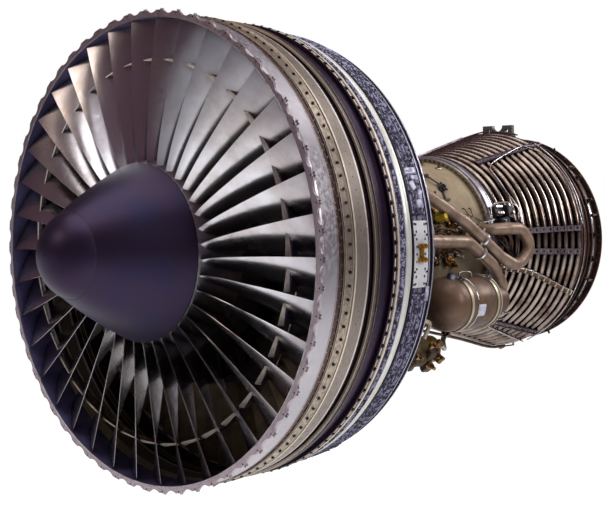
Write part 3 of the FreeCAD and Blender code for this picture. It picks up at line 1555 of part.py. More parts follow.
def side_bracket():
    start, end = plate_start.value, plate_end.value
    low, high, thick = skin_line(start) + seat_gap.value, skin_line(end) + seat_gap.value, plate_thick.value
    spread_angle = plate_spread.value
    plate = ring_of([(start, low), (end, high), (end, high + thick), (start, low + thick)],
                    2 * spread_angle, 90 - spread_angle)
    holes = []
    for row in range(9):
        lean = 90 - spread_angle + spread_angle * 2 * (row + 0.5) / 9
        for share in (0.2, 0.8):
            station = start + (end - start) * share
            hole = rod(Vector(station, 0, low - 30), Vector(station, 0, low + 30), plate_hole.value)
            holes.append(about_shaft(hole, lean))
    return plate.cut(Part.makeCompound(holes))


made("side_bracket", side_bracket())


# ---- engine mounts: the forward saddle on the frame and the aft lug on the exhaust case ------

saddle_length = size("forward_mount_length", 110)
saddle_width = size("forward_mount_width", 280)
saddle_top = size("forward_mount_top", 800)
saddle_start = size("forward_mount_start", 955)
mount_hole = size("forward_mount_hole_radius", 12)
mount_gauge = size("forward_mount_bolt_gauge", 244)
mount_step = size("forward_mount_bolt_step", 84)
mount_relief = size("forward_mount_relief_radius", 17)
lug_width = size("aft_mount_width", 240)
lug_top = exhaust_flow + size("aft_mount_rise", 126)
lug_hole = size("aft_mount_bore_radius", 14)
lug_gauge = size("aft_mount_bore_gauge", 150)
lug_height = exhaust_flow + size("aft_mount_bore_rise", 88)


def forward_mount():
    start, length, half = saddle_start.value, saddle_length.value, saddle_width.value / 2
    block = Part.makeBox(length, 2 * half, saddle_top.value - 600, Vector(start, -half, 600))
    frame_room = Part.makeCylinder(frame_radius.value + seat_gap.value, 400, Vector(start - 100, 0, 0), AXIS)
    block = block.cut(frame_room)
    corner = Vector(start + 25, 35 - half, saddle_top.value - 20)
    waist = Part.makeBox(length - 50, 2 * half - 70, 20, corner)
    block = block.cut(waist)
    holes = []
    for along in (-1, 1):
        for across in (-1, 1):
            station = start + length / 2 + along * mount_step.value / 2
            spot = Vector(station, across * mount_gauge.value / 2, 600)
            holes.append(rod(spot, spot + Vector(0, 0, 300), mount_hole.value))
            relief_top = Vector(spot.x, spot.y, frame_radius.value - 2)
            holes.append(rod(spot, relief_top, mount_relief.value))
    edges = [edge for edge in block.Edges if edge.Length > 60
             and abs(edge.Vertexes[0].Point.x - edge.Vertexes[-1].Point.x) < 0.01
             and abs(edge.Vertexes[0].Point.y - edge.Vertexes[-1].Point.y) < 0.01]
    return block.makeFillet(12, edges).cut(Part.makeCompound(holes))


def aft_mount():
    start, half = exhaust_start.value + 58, lug_width.value / 2
    skin = exhaust_flow.value + exhaust_wall.value + seat_gap.value
    block = Part.makeBox(30, 2 * half, lug_top.value - 500, Vector(start, -half, 500))
    block = block.cut(Part.makeCylinder(skin, 200, Vector(start - 50, 0, 0), AXIS))
    gap = Part.makeCylinder(42, 200, Vector(start - 50, 0, lug_top.value), AXIS)
    bores = []
    for side in (-1, 1):
        ahead = Vector(start - 20, side * lug_gauge.value / 2, lug_height.value)
        bores.append(rod(ahead, ahead + AXIS * 100, lug_hole.value))
    return block.cut([gap] + bores)


made("forward_mount", forward_mount())
made("aft_mount", aft_mount())


# ---- accessory gearbox: a curved housing under the compressor, with the units that it drives -

box_front = size("gearbox_front_station", 1450)
box_rear = size("gearbox_rear_station", 1600)
box_low = shell_radius - size("gearbox_inner_drop", 3)
box_high = shell_radius + size("gearbox_outer_rise", 177)
box_spread = size("gearbox_half_angle", 32)
box_angle = size("gearbox_angle", -78)
unit_radius = shell_radius + size("gearbox_pad_rise", 99)
pump_reach = shell_radius + size("fuel_pump_rise", 277)
pump_angle = size("fuel_pump_angle", -50)
pump_radius = size("fuel_pump_radius", 84)
starter_angle = size("starter_angle", -66)
starter_radius = size("starter_radius", 72)
generator_angle = size("generator_angle", -93)
generator_radius = size("generator_radius", 92)


def gearbox():
    front, rear = box_front.value, box_rear.value
    middle = 90 - box_angle.value
    housing = ring_of([(front, box_low.value), (rear, box_low.value), (rear, box_high.value - 24),
                       (rear - 24, box_high.value),
                       (front + 24, box_high.value), (front, box_high.value - 24)],
                      2 * box_spread.value, middle - box_spread.value)
    pads = []
    for angle, radius in ((starter_angle, starter_radius), (generator_angle, generator_radius)):
        spot = at(rear - 30, unit_radius.value, angle.value)
        pads.append(rod(spot, spot + AXIS * 42, radius.value + 10))
    pump = at(front + 10, pump_reach.value, pump_angle.value)
    pads.append(rod(pump, pump + AXIS * (rear - front), pump_radius.value + 8))
    arm = Part.makeBox(rear - front - 40, 120, pump_reach.value - box_high.value + 80)
    arm.translate(Vector(front + 20, -60, box_high.value - 60))
    pads.append(about_shaft(arm, 90 - pump_angle.value))
    flange_top = comp_flow_rear.value + 44 + seat_gap.value
    for lean in (-box_spread.value * 0.7, box_spread.value * 0.7):
        foot = Part.makeBox(comp_end.value + 12 - rear + 20, 44, box_low.value - flange_top + 7)
        foot.translate(Vector(rear - 20, -22, flange_top))
        keep = ring_of([(rear - 30, flange_top), (comp_end.value + 20, flange_top),
                        (comp_end.value + 20, 700), (rear - 30, 700)], 20.0, -10.0)
        pads.append(about_shaft(foot.common(keep), middle + lean))
    return housing.fuse(pads).removeSplitter()


def driven_unit(outline, angle, reach):
    """A turned housing with its own axis, parallel to the shaft line."""
    spot = at(0, reach, angle)
    corners = [Vector(station, 0, radius) + spot for station, radius in outline]
    return Part.Face(Part.makePolygon(corners + corners[:1])).revolve(spot, AXIS, 360)


def starter():
    base, radius = box_rear.value + 12 + seat_gap.value, starter_radius.value
    return driven_unit([(base, 0), (base, radius), (base + 10, radius), (base + 10, radius - 12),
                        (base + 60, radius - 12), (base + 70, radius), (base + 130, radius),
                        (base + 134, radius + 8), (base + 146, radius + 8), (base + 150, radius - 6),
                        (base + 196, radius - 20), (base + 206, radius - 44), (base + 206, 0)],
                       starter_angle.value, unit_radius.value)


def generator():
    base, radius = box_rear.value + 12 + seat_gap.value, generator_radius.value
    outline = [(base, 0), (base, radius), (base + 12, radius), (base + 12, radius - 10)]
    for fin in range(7):
        station = base + 30 + fin * 26
        outline += [(station, radius - 10), (station, radius), (station + 10, radius),
                    (station + 10, radius - 10)]
    outline += [(base + 230, radius - 10), (base + 248, radius - 34), (base + 248, 0)]
    return driven_unit(outline, generator_angle.value, unit_radius.value)


def fuel_pump():
    base, radius = box_rear.value + 10 + seat_gap.value, pump_radius.value
    body = driven_unit([(base, 0), (base, radius), (base + 12, radius), (base + 12, radius - 14),
                        (base + 60, radius - 14), (base + 66, radius - 4), (base + 120, radius - 4),
                        (base + 132, radius - 18), (base + 150, radius - 46), (base + 150, 0)],
                       pump_angle.value, pump_reach.value)
    spot = at(base + 90, pump_reach.value, pump_angle.value)
    outlet = rod(spot, spot + Vector(0, -1, -0.6).normalize() * (radius + 34), 22)
    elbow = rod(spot, spot + Vector(0, 0.35, -1).normalize() * (radius + 30), 18)
    return body.fuse([outlet, elbow]).removeSplitter()


made("accessory_gearbox", gearbox())
made("starter", starter())
made("generator", generator())
made("fuel_pump", fuel_pump())

tower_radius = size("drive_housing_radius", 30)
tower_reach = shell_radius + size("drive_housing_rise", 87)


def drive_housing():
    """The tube round the cross shaft, from the frame's rear wall to the gearbox's front face."""
    start, end = frame_end.value + seat_gap.value, box_front.value - seat_gap.value
    radius = tower_radius.value
    return driven_unit([(start, 0), (start, radius + 22), (start + 10, radius + 22), (start + 14, radius),
                        (end - 14, radius), (end - 10, radius + 20), (end, radius + 20), (end, 0)],
                       box_angle.value, tower_reach.value)


made("drive_shaft_housing", drive_housing())


# ---- oil tank: the domed canister low on the left side, and its two straps with feet ---------

tank_angle = size("oil_tank_angle", -29.5)
tank_radius = size("oil_tank_radius", 160)
tank_reach = shell_radius + size("oil_tank_gap", 17) + tank_radius
tank_front = size("oil_tank_front_station", 1640)
tank_end = size("oil_tank_end_station", 2105)
tank_joint = size("oil_tank_joint_station", 1868)
neck_radius = size("oil_tank_neck_radius", 86)
neck_end = size("oil_tank_neck_end_station", 2318)
strap_width = size("tank_strap_width", 22)
strap_thick = size("tank_strap_thickness", 5)


def oil_tank():
    """A domed front half, a plain rear half with a rolled rim, and the filter housing behind."""
    front, joint, end, radius = tank_front.value, tank_joint.value, tank_end.value, tank_radius.value
    small = radius - 7
    spot = at(0, tank_reach.value, tank_angle.value)
    dome = [spot + Vector(front + along, 0, radius * share)
            for along, share in ((0, 0), (16, 0.56), (62, 0.9), (84, 0.976), (116, 1))]
    nose = Part.Arc(dome[0], dome[1], dome[2]).toShape()
    shoulder = Part.Arc(dome[2], dome[3], dome[4]).toShape()
    neck, last = neck_radius.value, neck_end.value
    outline = [(front + 116, radius), (joint, radius), (joint, small), (joint + 60, small),
               (end - 12, small), (end - 8, radius), (end, radius), (end, small - 8),
               (end + 4, neck + 16), (end + 10, neck), (last - 24, neck), (last, neck - 30),
               (last, 0), (front, 0)]
    corners = [Vector(station, 0, up) + spot for station, up in outline]
    sides = [Part.LineSegment(a, b).toShape() for a, b in zip(corners[:-1], corners[1:])]
    return Part.Face(Part.Wire([nose, shoulder] + sides)).revolve(spot, AXIS, 360)


def tank_straps():
    """Each strap is a hoop round the tank, with a foot that stands on the diffuser case."""
    straps = []
    for station in (tank_joint.value - 60, tank_end.value - 26):
        plain = station < tank_joint.value
        inside = (tank_radius.value if plain else tank_radius.value - 7) + seat_gap.value
        outside = inside + strap_thick.value
        half = strap_width.value / 2
        hoop = driven_unit([(station - half, inside), (station + half, inside),
                            (station + half, outside), (station - half, outside)],
                           tank_angle.value, tank_reach.value)
        low = shell_line(station) + seat_gap.value
        foot = Part.makeBox(strap_width.value, 90, tank_reach.value - low)
        foot.translate(Vector(station - half, -45, low - 6))
        foot = about_shaft(foot, 90 - tank_angle.value)
        spot = at(station - 60, tank_reach.value, tank_angle.value)
        shell = ring_of([(station - 60, 10), (station + 60, 10),
                         (station + 60, shell_line(station + 60) + seat_gap.value),
                         (station - 60, shell_line(station - 60) + seat_gap.value)])
        foot = foot.cut([Part.makeCylinder(inside, 200, spot, AXIS), shell])
        solids = sorted(foot.Solids, key=lambda piece: piece.CenterOfMass.Length)
        straps.append(hoop.fuse(solids[0]).removeSplitter())
    return straps


shell_line = line(((shell_shoulder + 30).value, shell_front.value),
                  ((shell_end - 10).value, shell_radius.value))
made("oil_tank", oil_tank())
made("tank_straps", Part.makeCompound(tank_straps()))


# ---- bleed pipes: two bent pipes along the left side -----------------------------------------

pipe_radius = size("bleed_pipe_radius", 37)
pipe_wall = size("bleed_pipe_wall", 2)
pipe_bend = size("bleed_pipe_bend_radius", 90)
pipe_flange = size("bleed_pipe_flange_radius", 54)


def pipe_with_flange(points, end_direction):
    pipe = bent_pipe(points, pipe_radius.value, pipe_bend.value, pipe_radius.value - pipe_wall.value)
    way = (points[1] - points[0]).normalize()
    bore = pipe_radius.value - pipe_wall.value
    front_flange = rod(points[0], points[0] + way * 10, pipe_flange.value)
    flanges = [front_flange.cut(rod(points[0] - way, points[0] + way * 12, bore))]
    if end_direction is not None:
        back = end_direction.normalize()
        collar_piece = rod(points[-1], points[-1] + back * 10, pipe_flange.value)
        flanges.append(collar_piece.cut(rod(points[-1] - back, points[-1] + back * 12, bore)))
    return pipe.fuse(flanges).removeSplitter()


# Each pipe's corners, as a station, a rise over the shell's radius, and an angle
UPPER_CORNERS = ((1480, 74.3, 42.9), (1718, 67.4, 30.3),
                 (1971, 87.1, 13.3), (2292, 107.4, -6.9),
                 (2435, 151.2, -12.7), (2545, 167.4, -2.0),
                 (2462, 153.4, 7.9), (2330, 134.2, 8.5))
LOWER_CORNERS = ((1637, 86.8, 2.9), (1980, 87.3, 1.8),
                 (2220, 106.1, -11.4), (2390, 114.3, -24.7),
                 (2425, 91.6, -34.2))


def corners_over_shell(corners):
    """The corners as points. The first is repeated at the frame's rear wall, where the pipe starts."""
    points = [at(station, shell_radius.value + rise, angle) for station, rise, angle in corners]
    start = Vector(frame_end.value + seat_gap.value, points[0].y, points[0].z)
    return [start] + points


def upper_pipe():
    """From the frame's rear wall down over the case, round in an open loop, and into the shell."""
    case_top = shell_line(2230) + 12
    points = corners_over_shell(UPPER_CORNERS)
    points += [Vector(2236, -(case_top + 60), 88), Vector(2230, -case_top, 84)]
    return pipe_with_flange(points, points[-2] - points[-1])


def lower_pipe():
    """From the frame's rear wall along the side and down behind the oil tank."""
    return pipe_with_flange(corners_over_shell(LOWER_CORNERS), None)


made("upper_bleed_pipe", upper_pipe())
made("lower_bleed_pipe", lower_pipe())


# ---- ignition boxes: two sealed boxes low on the diffuser case's right side, with lead sockets -

igniter_length = size("ignition_box_length", 110)
igniter_width = size("ignition_box_width", 70)
igniter_height = size("ignition_box_height", 52)


def ignition_box(angle, station):
    low = shell_line(station + igniter_length.value) + seat_gap.value
    box = Part.makeBox(igniter_length.value, igniter_width.value, igniter_height.value + 12)
    box.translate(Vector(station, -igniter_width.value / 2, low - 12))
    box = box.makeFillet(5, [edge for edge in box.Edges if edge.BoundBox.ZMin > low])
    near, far = station - 50, station + 200
    under = ring_of([(near, 300), (far, 300), (far, shell_line(far) + seat_gap.value),
                     (near, shell_line(near) + seat_gap.value)], 60.0, -30.0)
    sockets = [rod(Vector(station + 4, across, low + 26), Vector(station - 26, across, low + 26), 11)
               for across in (-18, 18)]
    return about_shaft(box.cut(under).fuse(sockets).removeSplitter(), 90 - angle)


made("ignition_boxes", Part.makeCompound([ignition_box(205.0, 2080.0), ignition_box(216.0, 2150.0)]))


# ---- check and write -------------------------------------------------------------------------

doc.recompute()
for item in doc.Objects:
    if "Invalid" in item.State or "Error" in item.State:
        raise RuntimeError(f"{item.Label} failed: {item.State}")
for part in parts:
    if part.Shape.isNull() or not part.Shape.isValid():
        raise RuntimeError(f"{part.Label} has a bad shape")
os.makedirs("parts", exist_ok=True)
for part in parts:
    part.Shape.exportStep(f"parts/{part.Label}.step")
    print(part.Label, len(part.Shape.Solids), round(part.Shape.Volume / 1e6, 3))
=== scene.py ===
import math
import random

import bmesh
import bpy
from mathutils import Matrix, Vector


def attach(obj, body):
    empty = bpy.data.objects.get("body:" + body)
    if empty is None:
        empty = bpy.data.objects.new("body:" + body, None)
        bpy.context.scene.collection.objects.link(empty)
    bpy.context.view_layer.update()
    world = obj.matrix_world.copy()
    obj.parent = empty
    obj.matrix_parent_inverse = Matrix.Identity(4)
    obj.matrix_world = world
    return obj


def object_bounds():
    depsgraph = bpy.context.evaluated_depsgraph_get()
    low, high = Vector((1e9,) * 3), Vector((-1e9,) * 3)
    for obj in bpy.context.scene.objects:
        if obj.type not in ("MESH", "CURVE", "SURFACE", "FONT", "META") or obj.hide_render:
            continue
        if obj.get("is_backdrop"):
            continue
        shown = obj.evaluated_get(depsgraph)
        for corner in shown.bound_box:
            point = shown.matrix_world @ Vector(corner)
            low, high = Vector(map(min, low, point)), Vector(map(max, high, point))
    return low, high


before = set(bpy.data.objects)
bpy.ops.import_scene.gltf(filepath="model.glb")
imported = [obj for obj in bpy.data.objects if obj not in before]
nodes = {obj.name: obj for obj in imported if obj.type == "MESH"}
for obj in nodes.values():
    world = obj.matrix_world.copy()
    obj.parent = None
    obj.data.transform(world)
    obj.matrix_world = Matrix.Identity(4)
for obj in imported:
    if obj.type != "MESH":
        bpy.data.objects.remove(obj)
cad_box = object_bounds()
random.seed(38)


# The front case is a rolled aluminium ring round the fan, machined on a lathe and left bare.
# Its front edge is the flange that the inlet bolts to, and its skin is scuffed by handling.

def shade(code):
    """A colour written as six hex digits, as the linear values that a shader takes."""
    parts = [int(code[at:at + 2], 16) / 255 for at in (0, 2, 4)]
    linear = [c / 12.92 if c <= 0.04045 else ((c + 0.055) / 1.055) ** 2.4 for c in parts]
    return (*linear, 1.0)


def new_group(name, inputs, outputs):
    """An empty shader node group with named sockets, and its two end nodes."""
    tree = bpy.data.node_groups.new(name, "ShaderNodeTree")
    for label, kind, value in inputs:
        tree.interface.new_socket(label, in_out="INPUT", socket_type=kind).default_value = value
    for label, kind in outputs:
        tree.interface.new_socket(label, in_out="OUTPUT", socket_type=kind)
    return tree, tree.nodes.new("NodeGroupInput"), tree.nodes.new("NodeGroupOutput")


def feed(tree, socket, value):
    """Links a socket to an output, or gives it a fixed value."""
    if isinstance(value, bpy.types.NodeSocket):
        tree.links.new(value, socket)
    else:
        socket.default_value = value


def add(tree, kind, **values):
    """A node of one kind. Names with a capital are input sockets, the rest are settings."""
    node = tree.nodes.new("ShaderNode" + kind)
    for key, value in values.items():
        if key[0].isupper():
            feed(tree, node.inputs[key.replace("_", " ")], value)
        else:
            setattr(node, key, value)
    return node


def here(tree):
    """Object coordinates: metres from the middle of the front flange's face."""
    return add(tree, "TexCoord").outputs["Object"]


def sums(tree, operation, first, second=0.0, third=0.0, clamp=False):
    """One Math node and its result."""
    node = add(tree, "Math", operation=operation, use_clamp=clamp)
    for index, value in enumerate((first, second, third)):
        feed(tree, node.inputs[index], value)
    return node.outputs[0]


def blend(tree, share, under, over):
    """Two colours mixed by a share."""
    node = add(tree, "Mix", data_type="RGBA")
    for index, value in ((0, share), (6, under), (7, over)):
        feed(tree, node.inputs[index], value)
    return node.outputs[2]


def ramp(tree, value, low, high):
    """0 up to low, 1 from high on, and a straight rise between them."""
    return add(tree, "MapRange", Value=value, From_Min=low, From_Max=high).outputs[0]


def from_shaft(tree, place):
    """The distance from the shaft line, and the station along it."""
    split = add(tree, "SeparateXYZ", Vector=place).outputs
    squares = [sums(tree, "MULTIPLY", side, side) for side in (split[1], split[2])]
    return sums(tree, "SQRT", sums(tree, "ADD", *squares)), split[0]


def make_blotches():
    """Cloudy stains: a mask of soft patches, stretched along or across the shaft line."""
    tree, given, result = new_group(
        "blotches",
        [("Scale", "NodeSocketFloat", 6.0), ("Stretch", "NodeSocketVector", (1, 1, 1)),
         ("Low", "NodeSocketFloat", 0.4), ("High", "NodeSocketFloat", 0.6)],
        [("Mask", "NodeSocketFloat")])
    drawn = add(tree, "VectorMath", operation="MULTIPLY")
    feed(tree, drawn.inputs[0], here(tree))
    feed(tree, drawn.inputs[1], given.outputs["Stretch"])
    cloud = add(tree, "TexNoise", Vector=drawn.outputs[0], Scale=given.outputs["Scale"], Detail=5.0,
                Roughness=0.62)
    mask = ramp(tree, cloud.outputs[0], given.outputs["Low"], given.outputs["High"])
    tree.links.new(mask, result.inputs["Mask"])
    return tree


def make_lathe_lines():
    """Fine lines that run round the shaft line, as a lathe leaves them, broken up a little."""
    tree, _, result = new_group("lathe_lines", [], [("Line", "NodeSocketFloat")])
    place = here(tree)
    radius, station = from_shaft(tree, place)
    across = add(tree, "CombineXYZ", X=station, Y=radius)
    lines = add(tree, "TexNoise", Vector=across.outputs[0], Scale=90.0, Detail=4.0, Roughness=0.7)
    breaks = add(tree, "TexNoise", Vector=place, Scale=7.0, Detail=2.0)
    mixed = sums(tree, "MULTIPLY", lines.outputs[0], sums(tree, "MULTIPLY_ADD", breaks.outputs[0], 0.8, 0.55))
    tree.links.new(mixed, result.inputs["Line"])
    return tree


def make_corner_shade():
    """Painted shade that darkens corners, from ambient occlusion, stronger in some places than in others."""
    tree, given, result = new_group(
        "corner_shade", [("Reach", "NodeSocketFloat", 0.03), ("Amount", "NodeSocketFloat", 0.8)],
        [("Mask", "NodeSocketFloat")])
    corner = add(tree, "AmbientOcclusion", samples=6, Distance=given.outputs["Reach"])
    dark = sums(tree, "SUBTRACT", 1.0, corner.outputs["AO"])
    cloud = add(tree, "TexNoise", Vector=here(tree), Scale=14.0, Detail=4.0)
    uneven = sums(tree, "MULTIPLY_ADD", cloud.outputs[0], 1.2, 0.3)
    mask = sums(tree, "MULTIPLY", sums(tree, "MULTIPLY", dark, uneven), given.outputs["Amount"], clamp=True)
    tree.links.new(mask, result.inputs["Mask"])
    return tree


def make_speckle():
    """Very fine grain for bump and roughness, as on cast, sprayed or blasted metal."""
    tree, _, result = new_group("speckle", [], [("Grain", "NodeSocketFloat")])
    fine = add(tree, "TexNoise", Vector=here(tree), Scale=400.0, Detail=3.0, Roughness=0.6)
    tree.links.new(fine.outputs[0], result.inputs["Grain"])
    return tree


blotches, lathe_lines, corner_shade, speckle = make_blotches(), make_lathe_lines(), make_corner_shade(), make_speckle()


def use(tree, group, **values):
    """A group placed in a material, with its own values."""
    node = add(tree, "Group", node_tree=group)
    for key, value in values.items():
        node.inputs[key].default_value = value
    return node.outputs[0]


def metal_finish(name, main, stain, dirt_and_shade, metallic=1.0, rough=0.35, rough_stain=0.15, scale=5.0,
                 stretch=(1, 1, 1), low=0.42, high=0.62, lines=0.0, grain=0.0, reach=0.03, shade_amount=0.8):
    """A material from a main colour, a stain that clouds it, and painted shade that darkens its corners.
    lines is how deep the lathe lines are, and grain how rough the surface feels."""
    material = bpy.data.materials.new(name)
    material.use_nodes = True
    tree = material.node_tree
    shader = tree.nodes["Principled BSDF"]
    cloud = use(tree, blotches, Scale=scale, Stretch=stretch, Low=low, High=high)
    colour = blend(tree, cloud, shade(main), shade(stain))
    roughness = sums(tree, "MULTIPLY_ADD", cloud, rough_stain, rough)
    height = None
    if lines:
        line = use(tree, lathe_lines)
        colour = blend(tree, sums(tree, "MULTIPLY", line, 0.5 * lines, clamp=True), colour, shade(dirt_and_shade))
        roughness = sums(tree, "MULTIPLY_ADD", line, 0.25 * lines, roughness)
        height = sums(tree, "MULTIPLY", line, lines)
    if grain:
        fine = use(tree, speckle)
        roughness = sums(tree, "MULTIPLY_ADD", fine, 0.3 * grain, roughness)
        deep = sums(tree, "MULTIPLY", fine, grain)
        height = deep if height is None else sums(tree, "ADD", height, deep)
    # Painted shade: corners darken towards the dark colour, by ambient occlusion.
    corner = use(tree, corner_shade, Reach=reach, Amount=shade_amount)
    colour = blend(tree, corner, colour, shade(dirt_and_shade))
    tree.links.new(colour, shader.inputs["Base Color"])
    tree.links.new(roughness, shader.inputs["Roughness"])
    if height is not None:
        bump = add(tree, "Bump", Height=height, Strength=0.35, Distance=0.001)
        tree.links.new(bump.outputs[0], shader.inputs["Normal"])
    shader.inputs["Metallic"].default_value = metallic
    return material


def dress(material, *names):
    """Gives a CAD node its material."""
    for name in names:
        mesh = nodes[name].data
        mesh.materials.clear()
        mesh.materials.append(material)


def banded_finish(name, start, end, bands, stain, dirt_and_shade, metallic, rough):
    """A material whose colour changes from band to band along the shaft line.
    Each band has the station where it starts, its colour, and how much the stain mottles it."""
    scale, stretch, low, high = 45.0, (1.6, 1, 1), 0.46, 0.56
    material = metal_finish(name, "808080", stain, dirt_and_shade, metallic, rough, 0.12, scale, stretch, low, high,
                            lines=0.4)
    tree = material.node_tree
    shader = tree.nodes["Principled BSDF"]
    station = add(tree, "SeparateXYZ", Vector=here(tree)).outputs[0]
    share = ramp(tree, station, start, end)
    colours = add(tree, "ValToRGB", Fac=share)
    colours.color_ramp.interpolation = "CONSTANT"
    steps = colours.color_ramp.elements
    for index, (at, code, mottled) in enumerate(bands):
        spot = (at - start) / (end - start)
        step = steps[index] if index < 2 else steps.new(spot)
        step.position = spot
        step.color = (*shade(code)[:3], mottled)
    cloud = use(tree, blotches, Scale=scale, Stretch=stretch, Low=low, High=high)
    wide = use(tree, blotches, Scale=2.2, Low=0.3, High=0.75)
    mask = sums(tree, "MULTIPLY", cloud, colours.outputs["Alpha"])
    colour = blend(tree, mask, colours.outputs["Color"], shade(stain))
    colour = blend(tree, sums(tree, "MULTIPLY", wide, 0.25), colour, shade(dirt_and_shade))
    # Painted shade: corners and grooves darken towards the dark colour, by ambient occlusion.
    corner = use(tree, corner_shade, Reach=0.02, Amount=0.9)
    colour = blend(tree, corner, colour, shade(dirt_and_shade))
    tree.links.new(colour, shader.inputs["Base Color"])
    return material


silver_bands = ((0.0, "b4a6ae", 0.15), (0.0145, "bcb7bd", 0.0), (0.119, "a59c9c", 0.1),
                (0.131, "5a4244", 0.8), (0.166, "cdc2b4", 0.0), (0.175, "b5a696", 0.55),
                (0.226, "e2d6c4", 0.0))
dress(banded_finish("case_silver", 0.0, 0.246, silver_bands, "6c584e", "2a1e22", metallic=0.9, rough=0.24),
      "front_case")


# Dark steel bolts hold the case's two bands in rows of 120. Pale anchor nuts with lugs are riveted
# behind the front flange.

nut_steel = metal_finish("nut_steel", "352f35", "221d22", "0c0a0c", rough=0.45, reach=0.01)
clip_steel = metal_finish("clip_steel", "d8d4d6", "a49ca2", "2a242a", rough=0.3, reach=0.006)
dress(nut_steel, "front_band_bolts", "rear_band_bolts")
dress(clip_steel, "front_flange_nuts")


# A rolled bead finishes the flange's inner edge. It is bright where the inlet seal rubs it, and it
# is swaged into the flange.

def join(thing, body):
    """Puts an object in the scene, riding on a body."""
    bpy.context.scene.collection.objects.link(thing)
    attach(thing, body)


def edges_of(made):
    """The edges of what an operator has made, in a steady order."""
    return list(dict.fromkeys(edge for vert in made["verts"] for edge in vert.link_edges))


def piece(name, shape, material, body="casings"):
    """A new object from a finished bmesh."""
    bmesh.ops.recalc_face_normals(shape, faces=shape.faces)
    mesh = bpy.data.meshes.new(name)
    shape.to_mesh(mesh)
    shape.free()
    mesh.materials.append(material)
    for face in mesh.polygons:
        face.use_smooth = True
    mesh.set_sharp_from_angle(angle=math.radians(35))
    join(bpy.data.objects.new(name, mesh), body)


def wire_hoops(name, stations, radius, wire, material, steps=120, centre=Vector((0, 0, 0)), gap=0.0,
               body="casings"):
    """Thin rings of round wire, one behind the other, round the shaft line or another line along
    it. gap is how many degrees stay open on the left side."""
    shape = bmesh.new()
    for station in stations:
        place = (Matrix.Translation(centre) @ Matrix.Rotation(math.radians(90 + gap / 2), 4, "X")
                 @ Matrix.Translation((station, 0, radius)) @ Matrix.Rotation(math.pi / 2, 4, "X"))
        made = bmesh.ops.create_circle(shape, segments=6, radius=wire, matrix=place)
        bmesh.ops.spin(shape, geom=edges_of(made), cent=centre, axis=(1, 0, 0),
                       angle=math.radians(360 - gap), steps=steps, use_merge=gap == 0)
    piece(name, shape, material, body)


lip_radius, lip_wire = 1.1942, 0.0016
wire_silver = metal_finish("wire_silver", "cfcbd0", "9a8c84", "2c2428", rough=0.22, scale=20.0, reach=0.01)

wire_hoops("front_lip_bead", (0.0004,), lip_radius, lip_wire, wire_silver, steps=180)


# Rivets in the pressed groove hold the stiffening ring inside the front case. They are steel, and
# stand in two rows round the groove.

def round_shaft(shape, count, first=0.0):
    """Repeats what is in a bmesh round the shaft line, evenly, starting at an angle in degrees."""
    bmesh.ops.transform(shape, matrix=Matrix.Rotation(math.radians(first), 4, "X"), verts=shape.verts)
    bmesh.ops.spin(shape, geom=shape.verts[:] + shape.edges[:] + shape.faces[:], cent=(0, 0, 0),
                   axis=(1, 0, 0), angle=math.tau * (count - 1) / count, steps=count - 1, use_duplicate=True)


def stud_ring(name, station, radius, count, size, height, material, first=0.0):
    """A ring of small heads that stand out from a wall round the shaft line."""
    shape = bmesh.new()
    bmesh.ops.create_cone(shape, cap_ends=True, segments=6, radius1=size, radius2=size * 0.75, depth=height,
                          matrix=Matrix.Translation((station, 0, radius + height / 2)))
    round_shaft(shape, count, first)
    piece(name, shape, material)


case_pitches = 120
groove_radius = 1.2078
rivet_steel = metal_finish("rivet_steel", "a89c98", "7c6e6c", "2a2024", rough=0.3, reach=0.006)
for row, station in enumerate((0.139, 0.158)):
    stud_ring(f"groove_rivets_{row}", station, groove_radius, case_pitches, 0.0045, 0.003, rivet_steel,
              first=1.5 * row)


# The rub lining is a dark sprayed abradable ring, bonded into the case and cut true so that the
# blade tips just clear it.

dress(metal_finish("rub_lining", "6e6898", "4c4670", "100c18", metallic=0.2, rough=0.35, lines=0.4),
      "rub_strip")


# The rear fan case is a rolled barrel with stiffening ribs, painted a dark plum in its troughs. It is
# bolted to the front case, and small rivets show on its smooth band.

plum_bands = ((0.184, "e2d6c4", 0.0), (0.2465, "93877e", 0.1), (0.338, "dcd2cc", 0.0),
              (0.3515, "281c24", 0.2), (0.383, "c9baa9", 0.1), (0.3875, "6e5e5a", 0.4),
              (0.4165, "d6c8b8", 0.0), (0.4215, "33213a", 0.3), (0.520, "4c3a50", 0.4),
              (0.5475, "d8ccbc", 0.1))
dress(banded_finish("case_plum", 0.184, 0.5531, plum_bands, "2c2030", "1a1218", metallic=0.75, rough=0.28),
      "rear_fan_case")
stud_ring("smooth_band_rivets", 0.300, 1.2088, case_pitches, 0.0035, 0.002, rivet_steel)


# Cream spacer plates lie between the bolts of the rear band, one in each gap. They are painted
# steel, held by the bolts on either side.

def add_block(shape, station, radius, angle, sizes, bevel=0.0015, lean=0.0):
    """A box with softened edges that stands on a wall. sizes run along, round and out of it,
    and lean turns it on its foot, in degrees."""
    place = (Matrix.Rotation(math.radians(90 - angle), 4, "X")
             @ Matrix.Translation((station, 0, radius + sizes[2] / 2))
             @ Matrix.Rotation(math.radians(lean), 4, "Z") @ Matrix.Diagonal((*sizes, 1)))
    made = bmesh.ops.create_cube(shape, size=1.0, matrix=place)
    bmesh.ops.bevel(shape, geom=edges_of(made), offset=bevel, offset_type="OFFSET", segments=1, profile=0.5,
                    affect="EDGES", material=-1)


def blocks(name, places, sizes, material, bevel=0.0015, body="casings"):
    """One piece made of small boxes of one size. Each place has a station, a radius and an angle."""
    shape = bmesh.new()
    for station, radius, angle in places:
        add_block(shape, station, radius, angle, sizes, bevel)
    piece(name, shape, material, body)


